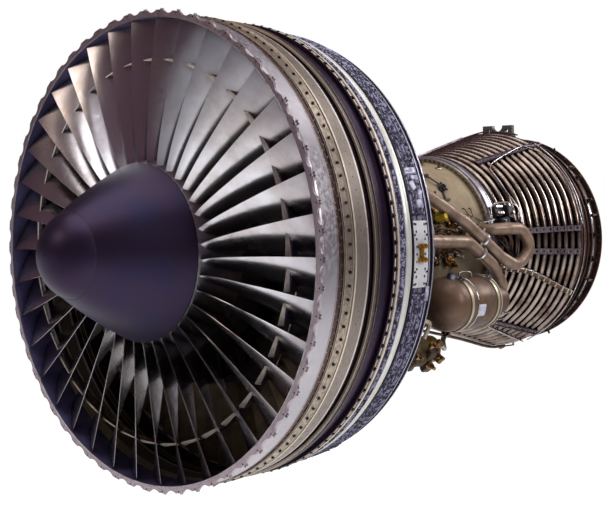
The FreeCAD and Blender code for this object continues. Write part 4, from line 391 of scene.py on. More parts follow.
cream_paint = metal_finish("cream_paint", "cfc2ae", "a4947e", "2e241e", metallic=0.3, rough=0.4, reach=0.008)
spacer_size = (0.0095, 0.040, 0.0028)
spacers = [(0.531, 1.2141, 360 / case_pitches * (place + 0.5)) for place in range(case_pitches)]
blocks("spacer_plates", spacers, spacer_size, cream_paint, 0.0008)


# The exit case is the last barrel. Its outside is blotched blue from heat and handling,
# and a white rolled ring stiffens its middle.

blue_bands = ((0.553, "e0d3c1", 0.0), (0.568, "8a86a0", 1.0), (0.628, "dedcd6", 0.0), (0.6955, "1e1626", 0.0),
              (0.711, "8a86a0", 1.0), (0.8335, "b4b0c2", 0.15), (0.846, "241c34", 0.6),
              (0.8735, "aaa6b8", 0.2))
dress(banded_finish("case_blue", 0.553, 0.8861, blue_bands, "1c1830", "15101c", metallic=0.55, rough=0.32),
      "exit_case")


# Two harnesses lie in the exit case's channels: bundles of sleeved wire that run right round
# the barrel under small clamps, with a few junction blocks.

sleeve_blue = metal_finish("sleeve_blue", "9c98b6", "1e182e", "0c0a16", metallic=0.0, rough=0.6, scale=42.0,
                           low=0.46, high=0.53, grain=0.8, reach=0.01)
sleeve_dark = metal_finish("sleeve_dark", "322c42", "8a86a4", "0a0812", metallic=0.0, rough=0.55, scale=55.0,
                           low=0.5, high=0.58, grain=0.6, reach=0.01)
clamp_steel = metal_finish("clamp_steel", "9c98a4", "5c5868", "1a161e", rough=0.32, reach=0.006)
plate_half = 9.5
wire_hoops("front_harness", (0.577, 0.601, 0.613), 1.2030, 0.0068, sleeve_blue)
wire_hoops("front_harness_core", (0.589, 0.623), 1.2015, 0.0062, sleeve_dark)
wire_hoops("rear_harness", (0.722, 0.747, 0.772, 0.797, 0.809), 1.1870, 0.0062, sleeve_blue,
           gap=2 * plate_half)
wire_hoops("rear_harness_core", (0.7345, 0.7595, 0.7845), 1.1880, 0.0058, sleeve_dark,
           gap=2 * plate_half)
front_clamps = [(random.uniform(0.588, 0.602), 1.1990, random.uniform(0, 360)) for place in range(90)]
blocks("front_harness_clamps", front_clamps, (0.036, 0.007, 0.0125), sleeve_dark)
around = [random.uniform(plate_half, 360 - plate_half) for place in range(150)]
rear_clamps = [(random.uniform(0.735, 0.800), 1.1815, angle) for angle in around]
blocks("rear_harness_clamps", rear_clamps[:110], (0.046, 0.008, 0.0145), sleeve_dark)
blocks("harness_junctions", rear_clamps[110:], (0.030, 0.034, 0.0175), sleeve_blue, 0.004)
stud_ring("exit_ring_bolts", 0.8525, 1.1775, 90, 0.0045, 0.004, nut_steel, first=2.0)


# The fan blades are forged titanium, polished, with a painted dark reflection towards their tips.
# Each slides into its own slot of the disc by a dovetail root.

tip_reflection_start, tip_radius = 0.95, 1.19


def blade_finish():
    """Polished titanium, with a painted dark reflection from a radius out to the tips."""
    material = metal_finish("blade_titanium", "d6d4da", "b8b0b0", "18101a", rough=0.2, rough_stain=0.08,
                            scale=2.5, reach=0.05, shade_amount=1.0)
    tree = material.node_tree
    shader = tree.nodes["Principled BSDF"]
    # Painted dark reflection: the colour darkens from a radius out to the tips. Painted shade also darkens the
    # corners.
    radius = from_shaft(tree, here(tree))[0]
    tip_reflection = ramp(tree, radius, tip_reflection_start, tip_radius)
    old = shader.inputs["Base Color"].links[0].from_socket
    colour = blend(tree, sums(tree, "MULTIPLY", tip_reflection, 0.45), old, shade("5a4a5c"))
    tree.links.new(colour, shader.inputs["Base Color"])
    return material


dress(blade_finish(), "fan_blades")


# Each mid-span shroud has a pale hard-faced pad that thickens towards the next blade. It is
# part of the forging in the real fan, and it turns with the blade.

fan_blade_count = 38
pad_middle, pad_tilt, pad_flat = (0.036, -0.011, 0.985), -26, 0.34
pad_length, pad_thin, pad_thick = 0.128, 0.008, 0.019
place = (Matrix.Translation(pad_middle) @ Matrix.Rotation(math.radians(pad_tilt), 4, "Y")
         @ Matrix.Rotation(math.pi / 2, 4, "X") @ Matrix.Diagonal((1, pad_flat, 1, 1))
         @ Matrix.Rotation(math.pi / 4, 4, "Z"))
shape = bmesh.new()
bmesh.ops.create_cone(shape, cap_ends=True, segments=4, radius1=pad_thin, radius2=pad_thick, depth=pad_length,
                      matrix=place)
round_shaft(shape, fan_blade_count)
pad_facing = metal_finish("pad_facing", "e2d8cc", "b4a89c", "1a1218", metallic=0.5, rough=0.3, scale=20.0,
                          reach=0.01)
piece("shroud_pads", shape, pad_facing, "fan_spool")


# The fan's disc and the drums of booster and compressor are turned from titanium forgings, which
# shows as fine lines. They are bolted to their shafts.

dress(metal_finish("disc_titanium", "8f8a8e", "6b666c", "2a262c", rough=0.35, lines=0.6), "fan_hub",
      "booster_drum", "compressor_drum")


# Sixty guide vanes stand behind the fan, and the booster has its own. They are cast aluminium under
# a tan erosion paint, fixed at both ends.

dress(metal_finish("vane_tan", "7c6a50", "5c4c3a", "140f0a", metallic=0.5, rough=0.5, reach=0.08),
      "booster_vanes", "exit_guide_vanes")


# The spinner is an aluminium cone and cap under a matt dark violet paint. A ring of flush
# screws holds the cap, and the joint shows as a thin line with small marks.

spinner_paint = metal_finish("spinner_paint", "33263e", "2b2746", "0c0814", metallic=0.75, rough=0.36,
                             rough_stain=0.06, scale=3.0, grain=0.3)
dress(spinner_paint, "spinner_cone", "spinner_cap")
seam_grey = metal_finish("seam_grey", "4a4254", "2a2432", "0a0810", metallic=0.3, rough=0.5, reach=0.004)
wire_hoops("spinner_joint", (-0.4701,), 0.2151, 0.0010, seam_grey, body="fan_spool")
cap_screws = [(-0.4625, 0.2185, 30 * place + 8) for place in range(12)]
blocks("spinner_screws", cap_screws, (0.006, 0.006, 0.0012), seam_grey, 0.0004, "fan_spool")
shape = bmesh.new()
for angle in (38, 142, 218, 322):
    add_block(shape, -0.430, 0.2365, angle, (0.016, 0.0045, 0.0015), 0.0005, 20)
piece("spinner_balance_plugs", shape, seam_grey, "fan_spool")


# The shafts are steel tubes, one inside the other, turned and ground. Splines join them to the discs
# that they drive.

dress(metal_finish("shaft_steel", "9a989a", "7c7a7e", "2c2a2c", rough=0.25, lines=0.5), "fan_shaft",
      "core_shaft")


# Ball and roller bearings carry both shafts. They are polished bearing steel, pressed into their
# supports.

dress(metal_finish("bearing_steel", "b0b0b4", "8c8c90", "303034", rough=0.18), "fan_bearing", "rear_bearing",
      "core_bearings")


# The splitter and the booster's case part the core's air from the bypass air. They are turned
# aluminium rings, bolted to the frame.

dress(metal_finish("duct_alloy", "6a6468", "4c484c", "1a1618", rough=0.4, lines=0.5), "flow_splitter",
      "booster_case")


# The booster's and compressor's airfoils are small forgings, held in slots round their drums and
# cases.

dress(metal_finish("small_blade_alloy", "958c88", "6c6462", "221e20", rough=0.35), "booster_blades",
      "compressor_blades", "compressor_vanes")


# The frame behind the fan is a grey titanium casting with eight hollow struts. The bearing supports
# are bolted inside it.

dress(metal_finish("frame_alloy", "5a545c", "3c383e", "100d12", rough=0.5, grain=0.6), "intermediate_case",
      "fan_bearing_support", "core_bearing_support")


# The compressor's case is two turned steel halves, bolted together along both sides and browned by
# heat.

dress(metal_finish("core_steel", "5e5046", "3c302a", "100c0a", rough=0.42, lines=0.5),
      "compressor_case_upper", "compressor_case_lower")


# Four rings turn the variable vanes, and the fuel manifold lies round the diffuser case on clips.
# All are bare steel.

dress(metal_finish("ring_steel", "aaa096", "7c7066", "282220", rough=0.3), "vane_control_rings",
      "fuel_manifold")


# The diffuser case round the burner is a welded shell, bolted at both ends. Its heat-resistant paint
# has baked to a dull tan.

dress(metal_finish("shell_tan", "97866c", "7f6d56", "2a2119", metallic=0.2, rough=0.5, grain=0.4, scale=3.0),
      "diffuser_case")


# Bolt rings close the core's flanges: at the frame's rear wall, the compressor's ends, the
# diffuser's two ends, and along the compressor's split flanges. All are plain steel hexagons.

def on_case(station, radius, angle):
    """A point by station, radius and angle: 0 is the engine's left side, 90 is the top."""
    turned = math.radians(angle)
    return Vector((station, -radius * math.cos(turned), radius * math.sin(turned)))


def add_bar(shape, start, end, radius, segments=12, top=1.0):
    """A round bar between two points. top is the share of the radius at its far end."""
    way = end - start
    place = Matrix.Translation((start + end) / 2) @ way.to_track_quat("Z", "Y").to_matrix().to_4x4()
    bmesh.ops.create_cone(shape, cap_ends=True, segments=segments, radius1=radius, radius2=radius * top,
                          depth=way.length, matrix=place)


core_bolt = metal_finish("core_bolt", "7a6e64", "4a4038", "181210", rough=0.35, reach=0.006)
for name, station, radius, count in (
        ("frame_rear_bolts", 1.0835, 0.462, 64), ("compressor_rear_bolts", 1.7045, 0.4265, 60),
        ("diffuser_rear_bolts", 2.2935, 0.5285, 90), ("turbine_front_bolts", 2.3180, 0.5290, 90)):
    shape = bmesh.new()
    add_bar(shape, Vector((station - 0.009, 0, radius)), Vector((station + 0.003, 0, radius)), 0.0065, 6)
    round_shaft(shape, count)
    piece(name, shape, core_bolt)
split_start, split_pitch, case_front, case_radius, case_taper = 1.115, 0.0435, 1.08, 0.4475, 0.0504
shape = bmesh.new()
for side in (0, 180):
    for place in range(14):
        station = split_start + place * split_pitch
        radius = case_radius - (station - case_front) * case_taper
        for lift in (-0.013, 0.013):
            spot = on_case(station, radius, side)
            add_bar(shape, spot, spot + Vector((0, 0, lift)), 0.0065, 6)
piece("split_flange_bolts", shape, core_bolt)


# Levers turn the first four vane rows. Each is a stamped steel strip that joins a vane's stem to its
# ring, and four clamps hold each ring's joints.

first_ring, ring_pitch, stems_per_ring = 1.1498, 0.088, 56
shape = bmesh.new()
for ring in range(4):
    station = first_ring + ring * ring_pitch
    for place in range(stems_per_ring):
        add_block(shape, station + 0.019, 0.4795, 360 / stems_per_ring * place, (0.046, 0.007, 0.0035),
                  0.0008, 9)
    for angle in (12, 102, 192, 282):
        add_block(shape, station, 0.4775, angle, (0.026, 0.052, 0.010), 0.002)
piece("vane_levers", shape, wire_silver)


# Ports and small bosses stand on the compressor and diffuser cases. They are welded steel, closed by
# two-bolt plugs.

def add_peg(shape, station, angle, low, high, radius, segments=6, top=1.0):
    """A round bar that stands out of a wall, between two radii."""
    add_bar(shape, on_case(station, low, angle), on_case(station, high, angle), radius, segments, top)


shape = bmesh.new()
for station, radius, angles in ((1.196, 0.448, (40, 128, 214, 322)), (1.460, 0.436, (62, 150, 238)),
                                (1.960, 0.507, (54, 118, 176, 236)), (2.205, 0.511, (66, 104, 163, 258)),
                                (2.120, 0.509, (74,))):
    for angle in angles:
        add_block(shape, station, radius, angle, (0.046, 0.024, 0.007), 0.003)
        add_peg(shape, station, angle, radius, radius + 0.021, 0.0095, 12)
        for side in (-0.016, 0.016):
            add_peg(shape, station + side, angle, radius, radius + 0.012, 0.0042)
piece("case_ports", shape, core_bolt)


# A black star-shaped clamp bracket and a two-pronged clip stand on the tan shell, as the
# photograph shows them. Both are black steel, and the clip's wire runs back to the connectors.

def pipe_run(name, route, radius, material, about=Vector((0, 0, 0))):
    """A rigid pipe or wire that is clipped at both ends. Its smooth route is given by stations,
    radii and angles about the shaft line or another line along it."""
    curve = bpy.data.curves.new(name, "CURVE")
    curve.dimensions = "3D"
    curve.bevel_depth = radius
    curve.bevel_resolution = 2
    curve.resolution_u = 5
    curve.use_fill_caps = True
    spline = curve.splines.new("NURBS")
    spline.points.add(len(route) - 1)
    for point, corner in zip(spline.points, route):
        point.co = (*(about + on_case(*corner)), 1)
    spline.order_u = 3
    spline.use_endpoint_u = True
    curve.materials.append(material)
    join(bpy.data.objects.new(name, curve), "casings")


black_steel = metal_finish("black_steel", "1a1618", "2c2628", "060506", metallic=0.6, rough=0.45, reach=0.01)
shape = bmesh.new()
for lean in (12, 72, 132):
    add_block(shape, 2.016, 0.5165, 42.5, (0.074, 0.014, 0.010), 0.002, lean)
add_block(shape, 2.000, 0.5075, 41.0, (0.040, 0.034, 0.010), 0.003, 30)
add_block(shape, 1.992, 0.5085, 36.5, (0.016, 0.072, 0.006), 0.002, -18)
add_block(shape, 2.006, 0.5085, 32.0, (0.050, 0.016, 0.006), 0.002, 16)
add_peg(shape, 2.016, 42.5, 0.522, 0.538, 0.009)
piece("star_bracket", shape, black_steel)
pipe_run("shell_clip_upper", [(2.108, 0.513, 25.2), (2.116, 0.525, 24.6), (2.118, 0.526, 21.4),
                              (2.140, 0.526, 19.0), (2.172, 0.526, 18.4)], 0.0030, black_steel)
pipe_run("shell_clip_lower", [(2.176, 0.513, 25.4), (2.177, 0.526, 24.6), (2.170, 0.526, 21.4),
                              (2.172, 0.526, 18.4), (2.226, 0.525, 16.6), (2.276, 0.527, 14.4),
                              (2.300, 0.548, 14.2)], 0.0030, black_steel)
cable_dark = metal_finish("cable_dark", "2a2022", "4a3c34", "0a0808", metallic=0.0, rough=0.55, scale=40.0)
pipe_run("shell_cable", [(1.790, 0.520, 52), (1.880, 0.530, 56), (1.936, 0.528, 52.3),
                         (1.975, 0.526, 46.0), (2.010, 0.524, 42.5)], 0.0050, cable_dark)


# Rolled silver bands close the joint behind the tan shell: one wide, and one narrow on each side.
# They are steel strip, clamped round the flanges.

band_silver = metal_finish("band_silver", "dad6e0", "aaa2ac", "2a2026", rough=0.3, scale=12.0, lines=0.4,
                           reach=0.015)
shape = bmesh.new()
for start, end, low, high in ((2.3070, 2.3160, 0.5110, 0.5415), (2.3175, 2.3575, 0.5360, 0.5545),
                              (2.3735, 2.3890, 0.5245, 0.5480)):
    corners = ((start, low), (start, high - 0.0015), (start + 0.002, high), (end - 0.002, high),
               (end, high - 0.0015), (end, low))
    rim = [shape.verts.new((station, 0, radius)) for station, radius in corners]
    edges = [shape.edges.new(pair) for pair in zip(rim, rim[1:] + rim[:1])]
    bmesh.ops.spin(shape, geom=edges, cent=(0, 0, 0), axis=(1, 0, 0), angle=math.tau, steps=144,
                   use_merge=True)
piece("shell_end_bands", shape, band_silver)


# The burner's liners and the turbines' discs, blades and vanes are nickel alloy, browned by the hot
# gas. The blades sit in the discs' rims, and the vanes in the cases.

dress(metal_finish("hot_alloy", "7a6656", "54423a", "181210", metallic=0.65, rough=0.4), "burner_liner",
      "burner_inner_case", "core_turbine_rotor", "core_turbine_blades", "core_turbine_vanes",
      "core_turbine_case", "turbine_rotor", "turbine_blades", "turbine_vanes")


# The fan turbine's case is a turned cone of nickel alloy, darkened by heat. It is bolted between the
# core and the exhaust case.

dress(metal_finish("turbine_skin", "3c2e32", "281c22", "0a0608", rough=0.4, lines=0.5), "turbine_case")


# Twelve hoops of drawn steel tube blow cooling air on the turbine's case. Eight perforated channels
# hold them along the cone.

# Painted shade darkens the tubes strongly where they lie close to the case and to each other.
dress(metal_finish("tube_silver", "a8998f", "5a4238", "120a0e", rough=0.2, scale=7.0, low=0.44, high=0.70,
                   reach=0.05, shade_amount=1.7), "cooling_tubes")
dress(metal_finish("rail_mauve", "8a7c84", "5c5058", "1e181c", metallic=0.6, rough=0.4), "cooling_rails")


# Each rail is screwed down to a clip at every hoop that it crosses, and thin steel bands hold
# the hoops between the rails.

hoop_front, hoop_pitch, crest_front, crest_rise = 2.42, 0.057, 0.566, 0.26825


def crest(station):
    """The radius of the hoops' crests at a station."""
    return crest_front + (station - hoop_front) * crest_rise


hoops = [hoop_front + hoop_pitch * index for index in range(12)]
rails = ((60.0, 2.5), (7.0, 2.585), (-5.0, 2.585), (-57.0, 2.5), (108.0, 2.4), (150.0, 2.4), (187.0, 2.4),
         (238.0, 2.4))
shape = bmesh.new()
for angle, start in rails:
    for station in hoops:
        if start + 0.01 < station < 3.04:
            for side in (-0.55, 0.55):
                top = crest(station)
                add_peg(shape, station, angle + side, top + 0.003, top + 0.0095, 0.0042)
piece("rail_screws", shape, clip_steel)
shape = bmesh.new()
for angle in (84, 129, 168, 213, 262):
    for station in hoops[:-1]:
        add_block(shape, station + 0.0285, crest(station + 0.0285) - 0.014, angle, (0.030, 0.020, 0.004),
                  0.001)
piece("hoop_ties", shape, clip_steel)


# Silver drawn tubes and wires run over the hoops. One follows the upper rail and drops to the
# connectors, and two more run round the rear edge of the hoops.

def over_hoops(route, lift=0.007):
    """Points over the hoops, from stations and angles."""
    return [(station, crest(station) + lift, angle) for station, angle in route]


pipe_run("upper_sense_tube", over_hoops(
    ((3.100, 58.4), (2.991, 59.4), (2.940, 61.6), (2.739, 58.6), (2.590, 55.6), (2.522, 51.8), (2.514, 47.0),
     (2.514, 40.0), (2.513, 33.0), (2.534, 26.6), (2.556, 21.0), (2.535, 14.0)), 0.012), 0.0046, wire_silver)
pipe_run("upper_wire", over_hoops(((2.953, 61.2), (3.005, 56.0), (3.036, 48.0), (3.046, 40.0), (3.058, 30.0),
                                   (3.050, 18.0), (3.058, 8.6)), 0.010), 0.0034, wire_silver)
rim = [(3.085, 0.742, angle) for angle in range(-66, 70, 8)]
pipe_run("rear_edge_wire", rim, 0.0036, wire_silver)
rim = [(3.074, 0.747, angle + 2.5 * math.sin(angle)) for angle in range(72, 290, 9)]
pipe_run("rear_edge_harness", rim, 0.0050, cable_dark)
pipe_run("lower_sense_tube", over_hoops(
    ((2.480, -56.0), (2.538, -59.6), (2.659, -62.4), (2.800, -64.6), (2.950, -67.0), (3.060, -67.6))), 0.0046,
    wire_silver)
for index, angle in enumerate((-58.0, -52.5, -46.5)):
    pipe_run(f"lower_clip_{index}", over_hoops(((2.560, angle + 3), (2.590, angle), (2.640, angle - 1.5),
                                                (2.655, angle + 1.5))), 0.0032, wire_silver)


# The main sensor harness is copper-brown sleeved wire with cream ties. It leaves the
# connectors, crosses the hoops and ends at the exhaust case, clipped at each end.

sleeve_copper = metal_finish("sleeve_copper", "8a5a38", "5a3a28", "1c100a", metallic=0.3, rough=0.45,
                             scale=50.0)
route = ((2.330, -13.5), (2.411, -16.4), (2.501, -15.8), (2.626, -16.6), (2.741, -19.7), (2.844, -22.3),
         (2.984, -25.9), (3.050, -27.0))
pipe_run("hoop_harness_0", over_hoops(route, 0.012), 0.0058, sleeve_copper)
pipe_run("hoop_harness_1", over_hoops([(x + 0.004, angle + 0.9) for x, angle in route], 0.013), 0.0042,
         wire_silver)
pipe_run("hoop_harness_2", over_hoops([(x, angle - 0.9) for x, angle in route[1:]], 0.011), 0.0042,
         cable_dark)
ties = []
for (near, near_angle), (far, far_angle) in zip(route[:-1], route[1:]):
    for share in (0.25, 0.75):
        station = near + (far - near) * share
        ties.append((station, crest(station) + 0.004, near_angle + (far_angle - near_angle) * share))
blocks("harness_ties", ties, (0.010, 0.034, 0.018), cream_paint)


# The connector cluster: a bent wire frame, two dark boxes with silver sockets, and the elbows
# and plugs that hang under them.

frame_route = ((2.262, 0.528, 14.4), (2.290, 0.556, 14.0), (2.304, 0.568, 15.0), (2.305, 0.572, 19.0),
               (2.312, 0.580, 24.0), (2.387, 0.592, 25.4), (2.470, 0.614, 24.6), (2.520, 0.626, 22.6),
               (2.533, 0.630, 19.6), (2.533, 0.628, 12.0))
pipe_run("connector_frame", frame_route, 0.0052, wire_silver)
shape = bmesh.new()
for station, radius, angle, sizes, lean in (
        (2.372, 0.552, 20.4, (0.090, 0.074, 0.040), 4), (2.455, 0.580, 19.0, (0.052, 0.090, 0.038), -8),
        (2.395, 0.556, 12.6, (0.094, 0.066, 0.056), 10), (2.478, 0.590, 10.6, (0.044, 0.052, 0.044), -20)):
    add_block(shape, station, radius, angle, sizes, 0.004, lean)
piece("connector_boxes", shape, black_steel)
shape = bmesh.new()
for station, radius, angle, reach in (
        (2.345, 0.590, 22.5, 0.016), (2.368, 0.590, 22.5, 0.016), (2.391, 0.590, 22.5, 0.016),
        (2.345, 0.590, 18.6, 0.016), (2.368, 0.590, 18.6, 0.016), (2.391, 0.590, 18.6, 0.016),
        (2.440, 0.616, 22.4, 0.018), (2.465, 0.616, 18.0, 0.018), (2.372, 0.610, 13.6, 0.014),
        (2.420, 0.610, 11.0, 0.014)):
    add_peg(shape, station, angle, radius, radius + reach, 0.0088, 10, 0.8)
piece("connector_sockets", shape, wire_silver)
shape = bmesh.new()
for station, radius, angle in ((2.325, 0.545, 9.0), (2.350, 0.548, 4.8), (2.395, 0.556, 1.6),
                               (2.365, 0.550, -2.0), (2.430, 0.570, -3.6), (2.400, 0.560, -7.0),
                               (2.455, 0.582, -7.6), (2.415, 0.570, 6.4)):
    lean = random.uniform(-50, 50)
    add_block(shape, station, radius, angle, (0.040, 0.024, 0.030), 0.004, lean)
    add_bar(shape, on_case(station, radius, angle),
            on_case(station + random.uniform(-0.03, 0.03), radius + 0.052, angle + random.uniform(-2, 2)),
            0.0105, 8, 0.85)
piece("connector_plugs", shape,
      metal_finish("plug_brown", "5c4236", "2c2020", "0e0808", metallic=0.6, rough=0.4, reach=0.02))
for index, (near, far) in enumerate((((2.330, 8.0), (2.420, -9.0)), ((2.352, 10.5), (2.470, -4.0)),
                                     ((2.340, 3.0), (2.452, -12.0)), ((2.318, -1.0), (2.392, -14.5)))):
    route = [(near[0], 0.566, near[1]), (near[0] + 0.02, 0.610, near[1] - 4),
             (far[0] - 0.03, 0.618, far[1] + 5), (far[0], 0.584, far[1])]
    pipe_run(f"connector_lead_{index}", route, 0.0055, (cable_dark, sleeve_copper)[index % 2])


# The exhaust case is welded sheet and castings, browned by heat and bolted to the turbine's case. It
# carries a nut behind each flange hole, round bosses for its probes, and thin fire-wire hoops.

dress(metal_finish("exhaust_brown", "58382f", "38241f", "0e0808", metallic=0.6, rough=0.42, lines=0.5),
      "exhaust_case", "rear_cover")
shape = bmesh.new()
add_bar(shape, Vector((3.3585, 0, 0.692)), Vector((3.3500, 0, 0.692)), 0.0092, 6)
round_shaft(shape, 48)
piece("exhaust_flange_nuts", shape, core_bolt)
shape = bmesh.new()
for angle in (57, 36, 22, 3, -10, -34, -60, 84, 112, 140, 167, 194, 222, 250, 276):
    add_peg(shape, 3.2560, angle, 0.664, 0.706, 0.022, 12)
    add_peg(shape, 3.2560, angle, 0.706, 0.724, 0.0125)
    add_peg(shape, 3.2560, angle, 0.724, 0.742, 0.0075, 8)
piece("exhaust_probes", shape,
      metal_finish("boss_dark", "42342e", "241c1a", "0a0808", rough=0.45, reach=0.02))
wire_hoops("exhaust_probe_hoops", (3.2400,), 0.7060, 0.0052, cable_dark)
wire_hoops("exhaust_wire_hoops", (3.2780, 3.2880), 0.6900, 0.0034, wire_silver)
brackets = [(3.290, 0.672, angle) for angle in (14, 44, 70, -22, -48, 98, 126, 154, 180, 208, 236, 262)]
blocks("exhaust_brackets", brackets, (0.046, 0.014, 0.046), core_bolt, 0.003)
stud_ring("turbine_rear_bolts", 3.0885, 0.704, 72, 0.005, 0.006, core_bolt)


# The side bracket is a white painted plate, held by dark screws at its corners. Two gold-passivated
# hose fittings are bolted to its middle, and pale clips stand on the channel above it.

dress(metal_finish("bracket_white", "d2d0d2", "aeaab0", "3c383e", metallic=0.2, rough=0.4), "side_bracket")
gold_fitting = metal_finish("gold_fitting", "c89a34", "8c6420", "2a1c08", rough=0.3, scale=30.0, reach=0.01)
shape = bmesh.new()
for station, angle in ((0.758, 1.9), (0.786, 1.9), (0.758, -1.3), (0.786, -1.3)):
    add_peg(shape, station, angle, 1.184, 1.204, 0.0125, 8)
    add_peg(shape, station, angle, 1.204, 1.214, 0.0075, 8)
add_block(shape, 0.772, 1.184, 0.3, (0.026, 0.060, 0.012), 0.003)
piece("bracket_fittings", shape, gold_fitting)
shape = bmesh.new()
for angle in (-7.2, -4.2, 4.6, 7.2):
    for station in (0.722, 0.820):
        add_peg(shape, station, angle, 1.185, 1.1905, 0.0052)
piece("bracket_screws", shape, black_steel)
pale_paint = metal_finish("pale_paint", "c4c2d2", "7c7894", "262232", metallic=0.1, rough=0.45, scale=30.0)
shape = bmesh.new()
for station, angle, sizes, lean in ((0.770, 12.0, (0.044, 0.040, 0.022), 12),
                                    (0.792, 14.2, (0.030, 0.052, 0.016), -20),
                                    (0.748, 16.4, (0.036, 0.044, 0.018), 30),
                                    (0.782, 18.4, (0.060, 0.026, 0.014), 0),
                                    (0.760, 20.2, (0.084, 0.034, 0.012), 4),
                                    (0.835, -9.6, (0.030, 0.076, 0.005), 0)):
    add_block(shape, station, 1.183, angle, sizes, 0.004, lean)
piece("channel_clips", shape, pale_paint)


# Both mounts are machined steel forgings with a shot-peened skin, bolted to the frame and to the
# exhaust case.

dress(metal_finish("mount_steel", "706a6c", "4c484c", "1c181c", rough=0.45, grain=0.5), "forward_mount",
      "aft_mount")


# The gearbox and the drive shaft's housing are aluminium castings, dull and brown with oil. The
# gearbox hangs on two brackets, with ribs across its back and cap screws along both edges.

gearbox_alloy = metal_finish("gearbox_alloy", "6e5c44", "4a3c2e", "181210", metallic=0.7, rough=0.5,
                             grain=0.8)
dress(gearbox_alloy, "accessory_gearbox", "drive_shaft_housing")
shape = bmesh.new()
for angle in range(-106, -48, 8):
    add_block(shape, 1.525, 0.6885, angle, (0.098, 0.008, 0.010), 0.002)
for angle in range(-108, -46, 5):
    for station in (1.4500, 1.6000):
        way = Vector((0.009 if station > 1.5 else -0.009, 0, 0))
        add_bar(shape, on_case(station, 0.655, angle) - way, on_case(station, 0.655, angle) + way, 0.0062, 6)
piece("gearbox_ribs", shape, gearbox_alloy)


# Oil, fuel and drain lines join the gearbox and its units. They are rigid pipes in silver,
# brown and gold finishes, held by the unions at their ends.

pipe_brown = metal_finish("pipe_brown", "6a5444", "443428", "180f0a", metallic=0.7, rough=0.35, scale=14.0)
low_routes = (
    ((1.085, 0.560, -52), (1.200, 0.575, -50), (1.340, 0.640, -44), (1.480, 0.752, -34), (1.560, 0.760, -34),
     (1.610, 0.748, -37), (1.622, 0.760, -43), (1.600, 0.790, -47)),
    ((1.085, 0.540, -64), (1.240, 0.560, -62), (1.400, 0.700, -58), (1.500, 0.745, -56), (1.700, 0.740, -58),
     (1.900, 0.640, -64), (2.060, 0.560, -70), (2.200, 0.530, -74), (2.250, 0.514, -76)),
    ((1.620, 0.850, -40), (1.660, 0.880, -41), (1.720, 0.860, -44), (1.800, 0.770, -45), (1.880, 0.740, -43),
     (1.900, 0.690, -46)),
    ((1.640, 0.700, -104), (1.760, 0.720, -108), (1.900, 0.640, -112), (2.080, 0.560, -108),
     (2.200, 0.530, -104), (2.240, 0.514, -103)),
    ((1.440, 0.620, -100), (1.380, 0.640, -104), (1.300, 0.600, -112), (1.200, 0.560, -118),
     (1.085, 0.540, -120)),
    ((1.880, 0.610, -78), (2.000, 0.570, -82), (2.160, 0.560, -84), (2.300, 0.580, -86), (2.440, 0.610, -86),
     (2.700, 0.665, -86), (3.050, 0.760, -86), (3.160, 0.745, -86)))
for index, route in enumerate(low_routes):
    pipe_run(f"low_line_{index}", route, (0.013, 0.010, 0.016, 0.012)[index % 4],
             (cream_paint, pipe_brown, wire_silver, pipe_brown)[index % 4])
shape = bmesh.new()
for route in low_routes:
    for first, second in ((route[0], route[1]), (route[-1], route[-2])):
        start, way = on_case(*first), (on_case(*second) - on_case(*first)).normalized()
        add_bar(shape, start - way * 0.006, start + way * 0.030, 0.0215, 6)
for station, radius, angle in ((1.830, 0.735, -43.5), (1.880, 0.730, -42), (1.552, 0.850, -40),
                               (1.700, 0.862, -47), (1.660, 0.880, -51), (1.500, 0.850, -46)):
    add_block(shape, station, radius, angle, (0.042, 0.032, 0.030), 0.005, random.uniform(-30, 30))
    add_bar(shape, on_case(station, radius, angle), on_case(station - 0.01, radius + 0.05, angle + 1.5),
            0.012, 6)
piece("low_unions", shape, metal_finish("union_bronze", "947650", "5c4632", "20160c", rough=0.32, scale=22.0,
                                         reach=0.015))
shape = bmesh.new()
for station, radius, angle, sizes in ((1.610, 0.845, -45, (0.060, 0.070, 0.040)),
                                      (1.690, 0.862, -54, (0.070, 0.060, 0.034)),
                                      (1.480, 0.872, -50, (0.036, 0.080, 0.026)),
                                      (1.640, 0.700, -62, (0.060, 0.050, 0.024)),
                                      (1.560, 0.690, -98, (0.070, 0.060, 0.030)),
                                      (1.520, 0.690, -88, (0.050, 0.044, 0.026))):
    add_block(shape, station, radius, angle, sizes, 0.006, random.uniform(-20, 20))
piece("unit_blocks", shape,
      metal_finish("block_brown", "5a4434", "3a2a20", "120a08", metallic=0.6, rough=0.42, grain=0.5))


# The starter is painted brown, the generator grey, and the fuel pump is gold-passivated aluminium.
# Each is clamped to the gearbox by a round flange.

dress(metal_finish("unit_brown", "5c4432", "3e2c22", "140e0a", metallic=0.4, rough=0.45), "starter")
dress(metal_finish("unit_grey", "6c6664", "4c4846", "1a1818", metallic=0.5, rough=0.45), "generator")
dress(metal_finish("unit_gold", "9c7a3c", "6c5026", "20160a", metallic=0.8, rough=0.35), "fuel_pump")


# The oil tank is a welded shell in olive-brown paint, held by two cream steel straps with T-bolts. It
# has a blank data patch, a rolled seam, a filler cap with a wire handle, and a bolted filter housing.

dress(metal_finish("tank_olive", "6c5240", "4c382e", "1c120e", metallic=0.35, rough=0.42, scale=4.0),
      "oil_tank")
dress(metal_finish("strap_cream", "c4b89c", "9c907c", "3a342a", metallic=0.5, rough=0.35), "tank_straps")
tank_line = on_case(0, 0.690, -29.5)


def on_tank(station, radius, angle):
    """A point by station and by radius and angle about the tank's own axis."""
    return tank_line + on_case(station, radius, angle)


